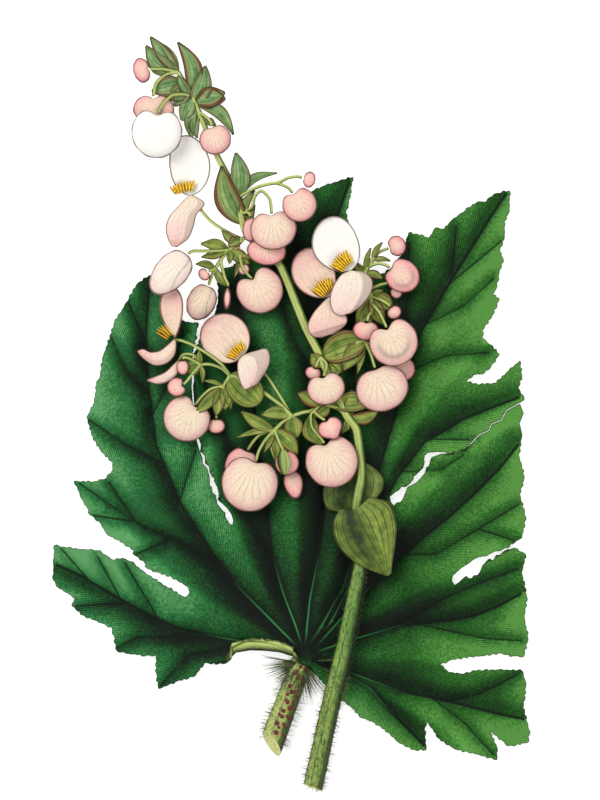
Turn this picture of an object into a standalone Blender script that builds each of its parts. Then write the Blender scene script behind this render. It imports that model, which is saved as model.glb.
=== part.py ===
"""A begonia leaf with its flowering stem laid across it, both cut from one plant and lying flat.

Places are in millimetres, seen from above: x to the right, y towards the stem's tip, z up from
the surface that it lies on. One empty moves all of it, so that the origin is under the leaf's heart.
"""

import math

import bpy
import numpy as np
from mathutils import Vector, geometry

MM = 0.001
GAP = 0.4  # air left between two pieces that are not grown together

# Driving sizes of the leaf
HEART = (1.5, -104.0)
BLADE_THICKNESS = 0.8
BLADE_MESH = 9.5
HEART_RISE = 7.6
HEART_SPREAD = 30.0
CROWN_RISE = 2.1
CROWN_CENTRE = (0.0, -28.0)
CROWN_REACH = (98.0, 118.0)
MAIN_PLEAT = (1.6, 6.0)  # height of a pleat and how fast it rises from the vein
SIDE_PLEAT = (1.0, 3.5)
ROLL_RADIUS = 1.25
ROLL_FLAP = 6.8

# Driving sizes of the leaf stalk
STALK_TOP = (2.6, -100.5)
STALK_CUT = (-11.4, -138.0)
STALK_RADIUS = (4.2, 4.95)
STALK_SIDES = 12
SCALE_COUNT = 11
SCALE_LENGTH = 8.5
REST_SHARE = 0.25  # how far down the stalk from the heart the origin lies

# Driving sizes of the stem and what it carries
PEDICEL_RADIUS = 0.65
PEDICEL_SHORT = 1.0  # how far from the notch of a closed bloom its pedicel ends
BRACT_THICKNESS = 0.7
BRACT_RISE = 0.6
BRACT_ARCH = 0.8
PETAL_THICKNESS = 0.7
CUT_LEAN = 2.6

# Cells of the height map that everything is laid on
CELL = 0.5
MAP_CORNER = (-110.0, -170.0)
MAP_SIZE = (430, 660)


def clear_scene():
    for item in list(bpy.data.objects):
        bpy.data.objects.remove(item, do_unlink=True)


def finish(name, colour, roughness):
    """A plain surface in the part's own colour."""
    material = bpy.data.materials.new(name)
    material.use_nodes = True
    shader = material.node_tree.nodes["Principled BSDF"]
    shader.inputs["Base Color"].default_value = (*colour, 1.0)
    shader.inputs["Roughness"].default_value = roughness
    material.diffuse_color = (*colour, 1.0)
    return material


def solid(name, points, faces, material, parent):
    """A named object from points in millimetres."""
    mesh = bpy.data.meshes.new(name)
    mesh.from_pydata([[value * MM for value in point] for point in points], [], faces)
    mesh.materials.append(material)
    made = bpy.data.objects.new(name, mesh)
    bpy.context.scene.collection.objects.link(made)
    made.parent = parent
    return made


def triangles(faces):
    """Each face as triangles that fan from its first corner."""
    return [(face[0], face[k], face[k + 1]) for face in faces for k in range(1, len(face) - 1)]


# The height maps: what lies highest over each cell, with and without the stem


heights = {"all": np.full(MAP_SIZE, -GAP), "not_stem": np.full(MAP_SIZE, -GAP)}


def surface_samples(points, faces):
    """Points spread over the faces, closer together than one cell."""
    points = np.asarray(points, float)
    found = []
    for a, b, c in triangles(faces):
        corner, first, second = points[a], points[b] - points[a], points[c] - points[a]
        longest = max(np.linalg.norm(first[:2]), np.linalg.norm(second[:2]))
        steps = max(1, math.ceil(longest / (0.7 * CELL)))
        i, j = np.meshgrid(np.arange(steps + 1), np.arange(steps + 1))
        kept = i + j <= steps
        found.append(corner + np.outer(i[kept] / steps, first) + np.outer(j[kept] / steps, second))
    return np.concatenate(found)


def cells_of(places):
    return tuple(np.floor((places[:, axis] - MAP_CORNER[axis]) / CELL).astype(int) for axis in (0, 1))


def height_under(places, level):
    return heights[level][cells_of(np.asarray(places, float))]


def rise_to_clear(points, faces, level):
    """How far a piece has to rise to lie just clear of what is under it."""
    samples = surface_samples(points, faces)
    return float((height_under(samples, level) + GAP - samples[:, 2]).max())


def cover(points, faces, levels):
    """Adds a piece to the height maps, one cell wider than it is."""
    samples = surface_samples(points, faces)
    i, j = cells_of(samples)
    for level in levels:
        for across in (-1, 0, 1):
            for along in (-1, 0, 1):
                np.maximum.at(heights[level], (i + across, j + along), samples[:, 2])


# Shapes


def tube(path, radii, sides, lean=0.0):
    """A closed tube along a path; lean slants the cut at its start."""
    path = [Vector(point) for point in path]
    points = []
    for index, centre in enumerate(path):
        ahead = path[min(index + 1, len(path) - 1)] - path[max(index - 1, 0)]
        ahead.normalize()
        side = Vector((ahead.y, -ahead.x, 0.0)).normalized()
        up = side.cross(ahead)
        radius = float(radii[index]) if isinstance(radii, (list, tuple)) else radii
        for k in range(sides):
            turn = 2 * math.pi * (k + 0.5) / sides
            slant = lean * math.sin(turn) if index == 0 else 0.0
            points.append(centre + radius * (math.cos(turn) * side + math.sin(turn) * up) + slant * ahead)
    faces = [tuple(reversed(range(sides))), tuple(range(len(points) - sides, len(points)))]
    for ring in range(len(path) - 1):
        for k in range(sides):
            a, b = ring * sides + k, ring * sides + (k + 1) % sides
            faces.append((a, b, b + sides, a + sides))
    return facing_out([tuple(point) for point in points], faces)


def smooth_path(marks, spacing):
    """Points along a smooth curve through the marks, about one spacing apart."""
    marks = np.asarray(marks, float)
    ends = np.vstack([2 * marks[0] - marks[1], marks, 2 * marks[-1] - marks[-2]])
    path = []
    for k in range(len(marks) - 1):
        a, b, c, d = ends[k : k + 4]
        count = max(1, round(float(np.linalg.norm((c - b)[:2])) / spacing))
        for t in np.arange(count) / count:
            slope, bend, twist = c - a, 2 * a - 5 * b + 4 * c - d, 3 * b - a - 3 * c + d
            path.append(0.5 * (2 * b + slope * t + bend * t**2 + twist * t**3))
    path.append(marks[-1])
    return np.array(path)


def thinned(path, slack):
    """The same path with only the points that it needs to stay within the slack."""
    if len(path) < 3:
        return path
    run = path[-1, :3] - path[0, :3]
    away = path[:, :3] - path[0, :3]
    along = np.clip(away @ run / (run @ run), 0, 1)
    off = np.linalg.norm(away - along[:, None] * run, axis=1)
    far = int(np.argmax(off))
    if off[far] < slack:
        return path[[0, -1]]
    return np.vstack([thinned(path[: far + 1], slack)[:-1], thinned(path[far:], slack)])


def sheet(middle, thickness):
    """A closed blade round a grid of middle points, split alike on both faces."""
    middle = np.asarray(middle, float)
    rows, columns = middle.shape[:2]
    along = np.gradient(middle, axis=0)
    across = np.gradient(middle, axis=1)
    normal = np.cross(across, along)
    normal /= np.linalg.norm(normal, axis=2, keepdims=True)
    normal *= np.where(normal[:, :, 2:] < 0, -1, 1)
    half = 0.5 * thickness * normal
    points = np.vstack([(middle + half).reshape(-1, 3), (middle - half).reshape(-1, 3)])
    under = rows * columns
    edge = [k for k in range(columns)]
    edge += [row * columns + columns - 1 for row in range(1, rows)]
    edge += [(rows - 1) * columns + k for k in range(columns - 2, -1, -1)]
    edge += [row * columns for row in range(rows - 2, 0, -1)]
    faces = []
    for row in range(rows - 1):
        for k in range(columns - 1):
            a, b = row * columns + k, row * columns + k + 1
            c, d = b + columns, a + columns
            faces += [(a, b, c), (a, c, d)]
            faces += [(under + a, under + c, under + b), (under + a, under + d, under + c)]
    for here, there in zip(edge, edge[1:] + edge[:1]):
        faces += [(there, here, under + here), (there, under + here, under + there)]
    return facing_out(points.tolist(), faces)


def facing_out(points, faces):
    """The same solid with its faces outwards, whichever way its rows ran."""
    corners = np.asarray(points, float)[np.asarray(triangles(faces))]
    volume = np.einsum("ij,ij->i", corners[:, 0], np.cross(corners[:, 1], corners[:, 2])).sum()
    return points, faces if volume > 0 else [tuple(reversed(face)) for face in faces]


# The leaf blade

# Margin of the blade, clockwise, lobe by lobe, from the curled stretch on the left of the heart
CURL = [
    (0, -104.3), (-3, -102.6), (-8, -101), (-14, -100.4), (-20, -100.3), (-26, -101.5), (-31, -105.0),
]
LEFT_LOW_LOBE = [
    (-38.5, -106), (-42, -111), (-50, -113.5), (-57, -116.5), (-58, -110), (-58, -103), (-62, -103),
    (-69, -102.3), (-74, -101), (-75, -95), (-76, -91.5), (-80, -90), (-87, -87), (-92, -83),
    (-91, -80), (-93.5, -78), (-97, -76), (-99.5, -72.5), (-99.5, -66), (-99, -58.5), (-94, -59.5),
    (-88, -60), (-81.5, -60.5), (-78, -62.5), (-75, -64.5), (-71.5, -63.5), (-68, -65), (-61, -70.5),
    (-53, -75.5), (-47.5, -78.8),
]
LEFT_LOBE = [
    (-45.3, -75.2), (-52, -71), (-58, -69.3), (-61.5, -68), (-63, -65), (-67.5, -62), (-67, -60.5),
    (-73, -56.5), (-77.5, -54.5), (-79, -52), (-81, -49), (-84.5, -46.5), (-86, -43), (-88, -40),
    (-91, -32.5), (-84, -33), (-78, -31.5), (-75.5, -28), (-75.5, -25), (-80, -21), (-83.5, -15),
    (-86, -7), (-83, -1), (-82, 6), (-80.5, 10), (-79.3, 18), (-76, 27), (-75, 31), (-69, 41),
    (-66, 46.5), (-60.5, 50.5), (-57.5, 45), (-54.5, 39), (-50, 33.5), (-46, 31.5), (-41, 31),
]
LEFT_SLIT = [
    (-43.2, 18), (-43.6, 5), (-42.4, -8), (-41.4, -17), (-39.4, -23), (-37.9, -28), (-36, -33),
    (-34.4, -38), (-31.8, -44), (-29.2, -49), (-26, -53), (-27.6, -48.5), (-30, -43), (-32.6, -37.5),
    (-34.7, -32.5), (-37, -27.6), (-38.6, -22.6), (-40.6, -16.8), (-41.6, -8), (-42.8, 5), (-42.4, 18),
]
TOP_LOBE = [
    (-38.6, 31), (-34.5, 34), (-33, 40), (-33, 48), (-31, 53), (-27, 54), (-22, 57), (-15, 62), (-8, 69),
    (-3, 75), (5.5, 84.5), (10, 86.5), (16, 88.5), (21.5, 90), (20.3, 83), (19.5, 78.5), (18.5, 75.5),
    (19, 73), (20, 66), (22, 58), (26, 51),
]
RIGHT_TOP_LOBE = [
    (32, 50), (38, 54), (41, 59), (43.7, 67.5), (48, 66.5), (52, 65.5), (54.5, 69.5), (58, 69),
    (61, 72.5), (66.5, 76.5), (71.5, 80), (75, 80), (78, 83), (84.5, 84.5), (84.5, 76), (82.5, 72),
    (82.5, 66.5), (80.5, 60), (82, 57), (80, 50), (79, 44.5), (77.5, 42.5), (80.5, 41), (77.5, 34),
    (73.5, 28), (73.5, 25), (76.5, 22.5), (80.5, 18.5), (77, 13.5), (74, 10.5), (70, 10), (67, 7.4),
]
RIGHT_LOBE = [
    (72, 6.2), (79, 7), (84, 12), (88.5, 16), (89.5, 10), (88, 5), (90.5, 0), (83, -4), (81, -8),
    (77, -9.5), (76, -12), (72, -14), (66, -20), (61, -21.5), (54, -21), (50, -22.5), (48, -26),
    (44, -30.5), (41, -34), (37, -41),
]
RIGHT_MIDDLE_LOBE = [
    (42.2, -35.5), (45.6, -32.5), (49, -28.5), (54, -25), (61, -23.4), (68, -21.5), (76, -20),
    (83, -15.5), (89, -14), (88.2, -22), (90.5, -31), (88.5, -38), (91, -47), (89.5, -55.5),
    (82, -60), (78, -61), (74, -63), (70, -66.5), (65, -69), (61.5, -72.6),
]
RIGHT_WIDE_LOBE = [
    (66, -71.2), (70, -70), (72, -69.5), (73, -66), (77, -63), (80, -61.6), (86, -59.5), (91, -62),
    (89.5, -70), (91.5, -79), (90.5, -88), (92, -96), (90, -103.5), (86, -103.2), (80, -102),
    (73, -103.2), (66, -103.6), (60, -105), (56.5, -106.5),
]
RIGHT_LOW_LOBE = [
    (60, -109.6), (66, -110.2), (71, -109), (80, -108.5), (89.5, -109), (91.2, -114), (90, -124),
    (92.5, -133), (92, -138), (84, -139.5), (81, -137), (76.5, -133.5), (79.5, -140), (79.5, -145),
    (72, -143), (62, -140.5), (56, -136.5), (51, -129.5), (50.3, -133), (51, -141), (46, -141),
    (39.5, -138), (34, -132.5), (29, -129.5), (25, -128), (20, -123), (14.5, -119), (10, -114.5),
    (6.5, -110), (3.2, -106.4),
]
MARGIN = (
    LEFT_LOW_LOBE + LEFT_LOBE + LEFT_SLIT + TOP_LOBE + RIGHT_TOP_LOBE + RIGHT_LOBE
    + RIGHT_MIDDLE_LOBE + RIGHT_WIDE_LOBE + RIGHT_LOW_LOBE
)

# Sunken veins: the long ones run from the heart to a lobe's tip, the side ones branch off them
MAIN_VEINS = [
    [(-3, -101.5), (-20, -97.5), (-35, -95), (-50, -91.5), (-60, -87), (-73, -80), (-88, -71),
     (-98, -66.5)],
    [(0, -100), (-15, -85), (-25, -75), (-35, -62), (-48.5, -41), (-58, -18), (-61, 5), (-62, 27),
     (-60.6, 47)],
    [(1, -99), (-2, -90), (-7, -77), (-11, -62), (-14, -40), (-17, -15), (-20, 10), (-23, 32), (-25, 50)],
    [(2, -99), (4, -80), (7, -65), (10, -45), (10, -20), (8, 8), (7, 35), (10, 60), (20, 88)],
    [(3, -99), (9, -90), (17, -76), (25, -52), (33, -24), (41, 3), (49, 28), (62, 50), (77, 74), (83, 83)],
    [(4, -100), (13, -88), (24, -66), (31, -45), (40, -30), (50, -17), (66, -7.5), (88, 1)],
    [(5, -100.5), (20, -84), (37, -66), (50, -55), (60, -47), (70, -38), (80, -28), (88, -18)],
    [(5, -101.5), (22, -96), (40, -91), (60, -88.7), (70, -87), (80, -83), (89, -78)],
    [(5, -103.5), (20, -109.5), (40, -117), (60, -121.5), (80, -126.5), (90, -128.5)],
    [(5, -104.5), (20, -111), (28, -116), (35, -124), (42, -131), (50, -139)],
]
SIDE_VEINS = [
    [(-30, -95.8), (-45, -95), (-65, -95.5), (-73.5, -99.5)],
    [(-22, -98), (-45, -103), (-56, -115)],
    [(-70, -81.6), (-90, -83)],
    [(-57, -88.2), (-70.5, -65.5)],
    [(-72, -80.6), (-81.5, -63)],
    [(-85, -72.7), (-96, -60)],
    [(-33, -64.8), (-47, -58), (-65, -50), (-89, -33.5)],
    [(-52, -56), (-66, -62)],
    [(-66, -49.6), (-77, -33)],
    [(-68, -48.7), (-83, -46.5)],
    [(-55, -25.6), (-70, -18), (-85, -8)],
    [(-60.7, 3), (-70, 12), (-76, 25)],
    [(-61.8, 23), (-69, 39)],
    [(-48.5, -41), (-41.8, -20)],
    [(-59.5, -6), (-51, 10), (-47, 28)],
    [(-14, -40), (-24, -26), (-36, -4), (-40, 18)],
    [(-11, -62), (-19, -50), (-28, -36)],
    [(-20, 8), (-29, 24), (-32, 44)],
    [(8, 5), (-2, 24), (-10, 46), (-12, 62)],
    [(7, 33), (0, 52), (-2, 72)],
    [(10, -43), (18, -22), (22, 4), (21, 28), (22, 50)],
    [(36, -14), (41, 14), (43, 40), (44, 63)],
    [(50, 30), (66, 38), (78, 49)],
    [(61, 48.5), (63, 70)],
    [(60, 46.5), (81, 64)],
    [(44, 12), (60, 18), (76, 19)],
    [(41, -29), (57, -28), (66, -22)],
    [(52, -15.8), (70, -16)],
    [(41, -62.4), (55, -62), (70, -53), (88, -42)],
    [(72, -52), (86, -56.5)],
    [(46, -90), (60, -93), (75, -96), (89, -97)],
    [(40, -91), (58, -80), (74, -73), (88, -68)],
    [(60, -121.5), (72, -118.5), (88, -110.5)],
    [(53, -120), (66, -130), (78, -143)],
]
# Slits between lobes: from the closed end outwards, and which side lies higher
SLITS = [
    ([(-26, -53), (-33.5, -37.5), (-41, -17), (-43, 10), (-41, 31)], 1.0),
    ([(37, -41), (45, -31.5), (52, -24), (70, -18.5), (88, -8)], 1.0),
    ([(61.5, -73), (73, -66), (88, -58)], 0.8),
    ([(56.5, -106.5), (72, -106.3), (90, -106)], 0.8),
    ([(-47.5, -78.8), (-62, -68), (-76, -60)], 0.7),
]
SLIT_REACH = 9.0


def distance_to(places, line):
    """Distance from each place to a broken line, with how far along it and which side of it."""
    best = np.full(len(places), np.inf)
    share = np.zeros(len(places))
    side = np.zeros(len(places))
    line = np.asarray(line, float)
    for k, (a, b) in enumerate(zip(line, line[1:])):
        run = b - a
        t = np.clip((places - a) @ run / (run @ run), 0, 1)
        off = places - a - t[:, None] * run
        gap = np.linalg.norm(off, axis=1)
        nearer = gap < best
        best = np.where(nearer, gap, best)
        share = np.where(nearer, (k + t) / (len(line) - 1), share)
        side = np.where(nearer, np.sign(run[0] * off[:, 1] - run[1] * off[:, 0]), side)
    return best, share, side


def blade_height(places):
    """Height of the blade's middle: a low dome that the stalk lifts at the heart, pleated by the veins."""
    places = np.asarray(places, float)
    from_heart = np.linalg.norm(places - HEART, axis=1)
    reach = np.linalg.norm((places - CROWN_CENTRE) / CROWN_REACH, axis=1)
    height = 0.5 * BLADE_THICKNESS + CROWN_RISE * np.clip(1 - reach**2, 0, 1)
    height += HEART_RISE * np.exp(-((from_heart / HEART_SPREAD) ** 2))
    for veins, (rise, width) in ((MAIN_VEINS, MAIN_PLEAT), (SIDE_VEINS, SIDE_PLEAT)):
        nearest = np.min([distance_to(places, vein)[0] for vein in veins], axis=0)
        height += rise * (1 - np.exp(-nearest / width)) * np.clip(from_heart / 30, 0, 1)
    for line, lift in SLITS:
        gap, share, side = distance_to(places, line)
        near = np.clip(1 - gap / SLIT_REACH, 0, 1) * np.clip(4 * share, 0, 1)
        height += lift * near * side * np.where(side > 0, 1, 0.4)
    return np.maximum(height, 0.5 * BLADE_THICKNESS)


def curl_rows():
    """Rows of places beyond the curl's crease, each with its crease point and distance from it."""
    crease = smooth_path(CURL, 6.0)
    ahead = np.gradient(crease, axis=0)
    outward = np.column_stack([ahead[:, 1], -ahead[:, 0]])
    outward /= -np.linalg.norm(outward, axis=1, keepdims=True)
    share = np.linspace(0, 1, len(crease))
    flap = ROLL_FLAP * np.clip(np.sin(math.pi * share) ** 0.45, 0.02, 1)
    return crease - ROLL_RADIUS * outward * (flap > 1)[:, None], outward, flap


def blade_middle(places, crease, outward):
    """Maps flat places to the blade's middle in space; what lies beyond the crease rolls up and over."""
    lifted = np.column_stack([places, blade_height(places)])
    for index, place in enumerate(places):
        nearest = int(np.argmin(np.linalg.norm(crease - place, axis=1)))
        beyond = float((place - crease[nearest]) @ outward[nearest])
        if beyond <= 0.01 or np.linalg.norm(crease[nearest] - place) > beyond + 3.6 or place[0] > 1:
            continue
        foot = place - beyond * outward[nearest]
        turn = min(beyond / ROLL_RADIUS, math.pi)
        out = ROLL_RADIUS * math.sin(turn) - max(0.0, beyond - math.pi * ROLL_RADIUS)
        lifted[index, :2] = foot + out * outward[nearest]
        lifted[index, 2] = blade_height(foot[None])[0] + ROLL_RADIUS * (1 - math.cos(turn))
    return lifted


def blade_solid():
    crease, outward, flap = curl_rows()
    outer = crease + flap[:, None] * outward
    ring = [tuple(place) for place in outer] + MARGIN
    flat = [Vector(place) for place in ring]
    edges = [(k, (k + 1) % len(ring)) for k in range(len(ring))]

    def add_line(line, closed_from=None):
        start = len(flat)
        flat.extend(Vector(place) for place in line)
        edges.extend((start + k, start + k + 1) for k in range(len(line) - 1))

    inner = []
    for share in (0.0, 0.22, 0.45, 0.7):
        row = crease + share * flap[:, None] * outward
        inner.append(row[1:-1])
        add_line([tuple(place) for place in row[1:-1]])
    for vein in MAIN_VEINS + SIDE_VEINS:
        add_line([tuple(place) for place in smooth_path(vein, BLADE_MESH)])
    taken = np.array([place[:] for place in flat])
    low, high = taken.min(axis=0), taken.max(axis=0)
    rows = np.arange(low[1], high[1], BLADE_MESH)
    for number, y in enumerate(rows):
        for x in np.arange(low[0] + 0.5 * BLADE_MESH * (number % 2), high[0], BLADE_MESH):
            if np.linalg.norm(taken - (x, y), axis=1).min() > 0.55 * BLADE_MESH:
                flat.append(Vector((x, y)))
    places, _, split, *_ = geometry.delaunay_2d_cdt(flat, edges, [list(range(len(ring)))], 1, 1e-4)
    used = sorted({k for face in split for k in face})
    renumbered = {old: new for new, old in enumerate(used)}
    places = np.array([places[k][:] for k in used])
    split = [tuple(renumbered[k] for k in face) for face in split]
    middle = blade_middle(places, crease, outward)
    normal = np.zeros_like(middle)
    for face in split:
        a, b, c = middle[list(face)]
        push = np.cross(b - a, c - a)
        normal[list(face)] += push
    normal /= np.linalg.norm(normal, axis=1, keepdims=True)
    half = 0.5 * BLADE_THICKNESS * normal
    count = len(places)
    points = np.vstack([middle + half, middle - half])
    faces = split + [tuple(count + k for k in reversed(face)) for face in split]
    sides = {(a, b) for face in split for a, b in zip(face, face[1:] + face[:1])}
    for a, b in sides:
        if (b, a) not in sides:
            faces += [(b, a, count + a), (b, count + a, count + b)]
    points[:, 2] = np.maximum(points[:, 2], 0.0)
    return facing_out(points.tolist(), faces)


# Blooms, bracts and the stem


def bloom_shell(centre, wide, long, notch, deep, point=0.0, sides=12):
    """A closed bloom: two cupped petals that meet at a grooved rim, heart shaped round its notch."""
    axis = Vector(notch) - Vector(centre)
    depth = axis.length
    axis.normalize()
    across = Vector((axis.y, -axis.x))
    half = [0.0, 0.3, 0.68, 1.2, 1.8, 2.45, math.pi] if sides == 12 else [0.0, 0.5, 1.25, 2.1, math.pi]
    turns = half + [-turn for turn in reversed(half[1:-1])]
    # Height and reach of each ring, from the upper petal's crown round the groove to the lower's
    lip = min(0.4, 0.11 * deep)
    under = [(0.33 * deep, 0.72), (lip, 1.0)]
    upper = [(0.43 * deep, 0.5), (0.25 * deep, 0.88), (lip, 1.0)] if sides == 12 else under
    rings = upper + [(0.0, 0.88)] + [(-z, reach) for z, reach in reversed(under)]
    points = [(*centre, 0.5 * deep)]
    for z, reach in rings:
        for turn in turns:
            # The widest ring keeps an ellipse, pulled in at the notch and drawn out opposite it
            radius = 1 / math.hypot(2 * math.cos(turn) / long, 2 * math.sin(turn) / wide)
            radius -= (0.5 * long - depth) * math.exp(-((turn / 0.42) ** 2))
            radius += point * math.exp(-(((math.pi - abs(turn)) / 0.45) ** 2))
            place = Vector(centre) + reach * radius * (math.cos(turn) * axis + math.sin(turn) * across)
            points.append((place.x, place.y, z))
    points.append((*centre, -0.5 * deep))
    last, count = len(points) - 1, len(turns)
    faces = []
    for k in range(count):
        here, there = 1 + k, 1 + (k + 1) % count
        faces.append((0, here, there))
        for ring in range(len(rings) - 1):
            a, b = here + ring * count, there + ring * count
            faces.append((a, a + count, b + count, b))
        faces.append((last, there + (len(rings) - 1) * count, here + (len(rings) - 1) * count))
    return facing_out(points, faces)


def fan_rows(base, tip, width, shape, bow, rows, rounded=False):
    """Left and right edge places of a blade from its base to its tip, widest where shape says."""
    base, tip = Vector(base), Vector(tip)
    ahead = tip - base
    across = Vector((-ahead.y, ahead.x)).normalized()
    found = []
    for step in range(rows):
        share = step / (rows - 1)
        t = 0.5 - 0.5 * math.cos(math.pi * share) if rounded else share
        swell = math.sin(math.pi * t**shape) ** 0.8 if 0 < t < 1 else 0.0
        if rounded:
            swell = math.sqrt(max(0.0, 1 - (2 * t**shape - 1) ** 2))
        half = 0.5 * width * swell
        half = max(half, 0.55 if t < 0.5 else 0.3)
        middle = base + t * ahead + bow * math.sin(math.pi * t) * across
        found.append((middle + half * across, middle - half * across))
    return found


def row_grid(rows, columns, base_height, rise, arch, cup):
    """Middle points across each row: they rise to the tip, arch between, and lift or droop at the edges."""
    grid = []
    for t, row in zip(np.linspace(0, 1, len(rows)), rows):
        marks = np.array([tuple(mark) for mark in row])
        across = np.linspace(-1, 1, columns)
        x, y = (np.interp(across, np.linspace(-1, 1, len(marks)), marks[:, axis]) for axis in (0, 1))
        height = base_height + rise * t + arch * math.sin(math.pi * t)
        grid.append(np.column_stack([x, y, height + cup * across**2 * min(1.0, 3 * t)]))
    return np.array(grid)


def clear_of(grid, thickness, level):
    """Lifts a blade that grows from its first row until it is clear of what it lies over."""
    need = height_under(grid.reshape(-1, 3)[:, :2], level).reshape(grid.shape[:2])
    need = need + GAP + 0.9 * thickness - grid[:, :, 2]
    ease = np.clip(np.linspace(0, 3.2, len(grid)), 0, 1)[:, None]
    lift = max(0.0, float((need * (ease >= 1)).max()))
    grid = grid.copy()
    grid[:, :, 2] += lift * ease
    return grid


def rope_over(marks, radius, level, free_ends):
    """A path lifted clear of what it crosses, apart from its ends, and smoothed."""
    path = smooth_path(marks, 3.2)
    steps = np.linalg.norm(np.diff(path[:, :2], axis=0), axis=1)
    along = np.concatenate([[0], np.cumsum(steps)])
    free = (along < free_ends[0]) | (along > along[-1] - free_ends[1])
    need = np.where(free, -np.inf, height_under(path, level) + radius + GAP)
    for _ in range(6):
        path[:, 2] = np.maximum(path[:, 2], need)
        path[1:-1, 2] = np.maximum(path[1:-1, 2], 0.5 * (path[:-2, 2] + path[2:, 2]))
    return path


# The flowering stem: places with the height of the middle and the radius
AXIS = [
    (5.2, -156.0, 4.1, 4.0), (9.4, -136.0, 8.2, 3.8), (13.0, -119.2, 12.4, 3.7), (17.6, -100.8, 13.2, 3.6),
    (22.4, -76.4, 12.0, 3.1), (24.6, -62.0, 11.2, 2.6), (23.0, -43.2, 11.0, 2.2), (24.8, -31.2, 10.4, 1.9),
    (24.0, -20.0, 9.8, 1.8), (22.4, -11.0, 9.4, 1.8), (19.2, -6.8, 9.2, 1.8), (12.5, 8.0, 8.8, 1.8),
    (8.2, 18.0, 8.4, 1.8), (3.2, 27.6, 8.0, 1.8), (-0.8, 37.2, 7.4, 1.8), (-8.0, 54.2, 6.8, 1.7),
    (-14.6, 61.0, 6.4, 1.6), (-21.2, 66.6, 6.0, 1.6), (-23.6, 75.0, 5.6, 1.5), (-24.6, 81.5, 5.2, 1.4),
    (-33.6, 98.8, 4.4, 1.2), (-40.5, 115.5, 3.8, 1.1), (-43.6, 122.5, 3.4, 1.0), (-49.0, 132.0, 3.0, 0.9),
]

# Branches: radius, then places; each starts on what is already there
BRANCHES = [
    (0.85,
        [(19.2, -6.8), (16, -3.8), (12, -2.2), (8, -2.4), (4.8, -4.2), (1, -4.9), (-3.2, -6.4),
         (-6.5, -8.4), (-10.4, -12)]),
    (0.9, [(-3.2, -6.4), (-7.6, -2), (-14.5, 3.2), (-21, 8), (-28.2, 10)]),
    (0.7, [(-28.2, 10), (-30.8, 5.6)]),
    (0.7, [(-28.2, 10), (-31.5, 12.8), (-36, 14.4), (-40, 14.3)]),
    (0.95,
        [(8.2, 18), (14.5, 19.3), (20, 22.8), (25.8, 23.8), (28.2, 32), (28.6, 41.5), (27.2, 46.5),
         (26.4, 51.2), (29, 56.2)]),
    (0.8, [(-22.4, 68), (-25, 62.6), (-28.8, 60.4), (-32, 56), (-34, 53)]),
    (0.7, [(-24.2, 63.5), (-24.4, 58)]),
]

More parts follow.
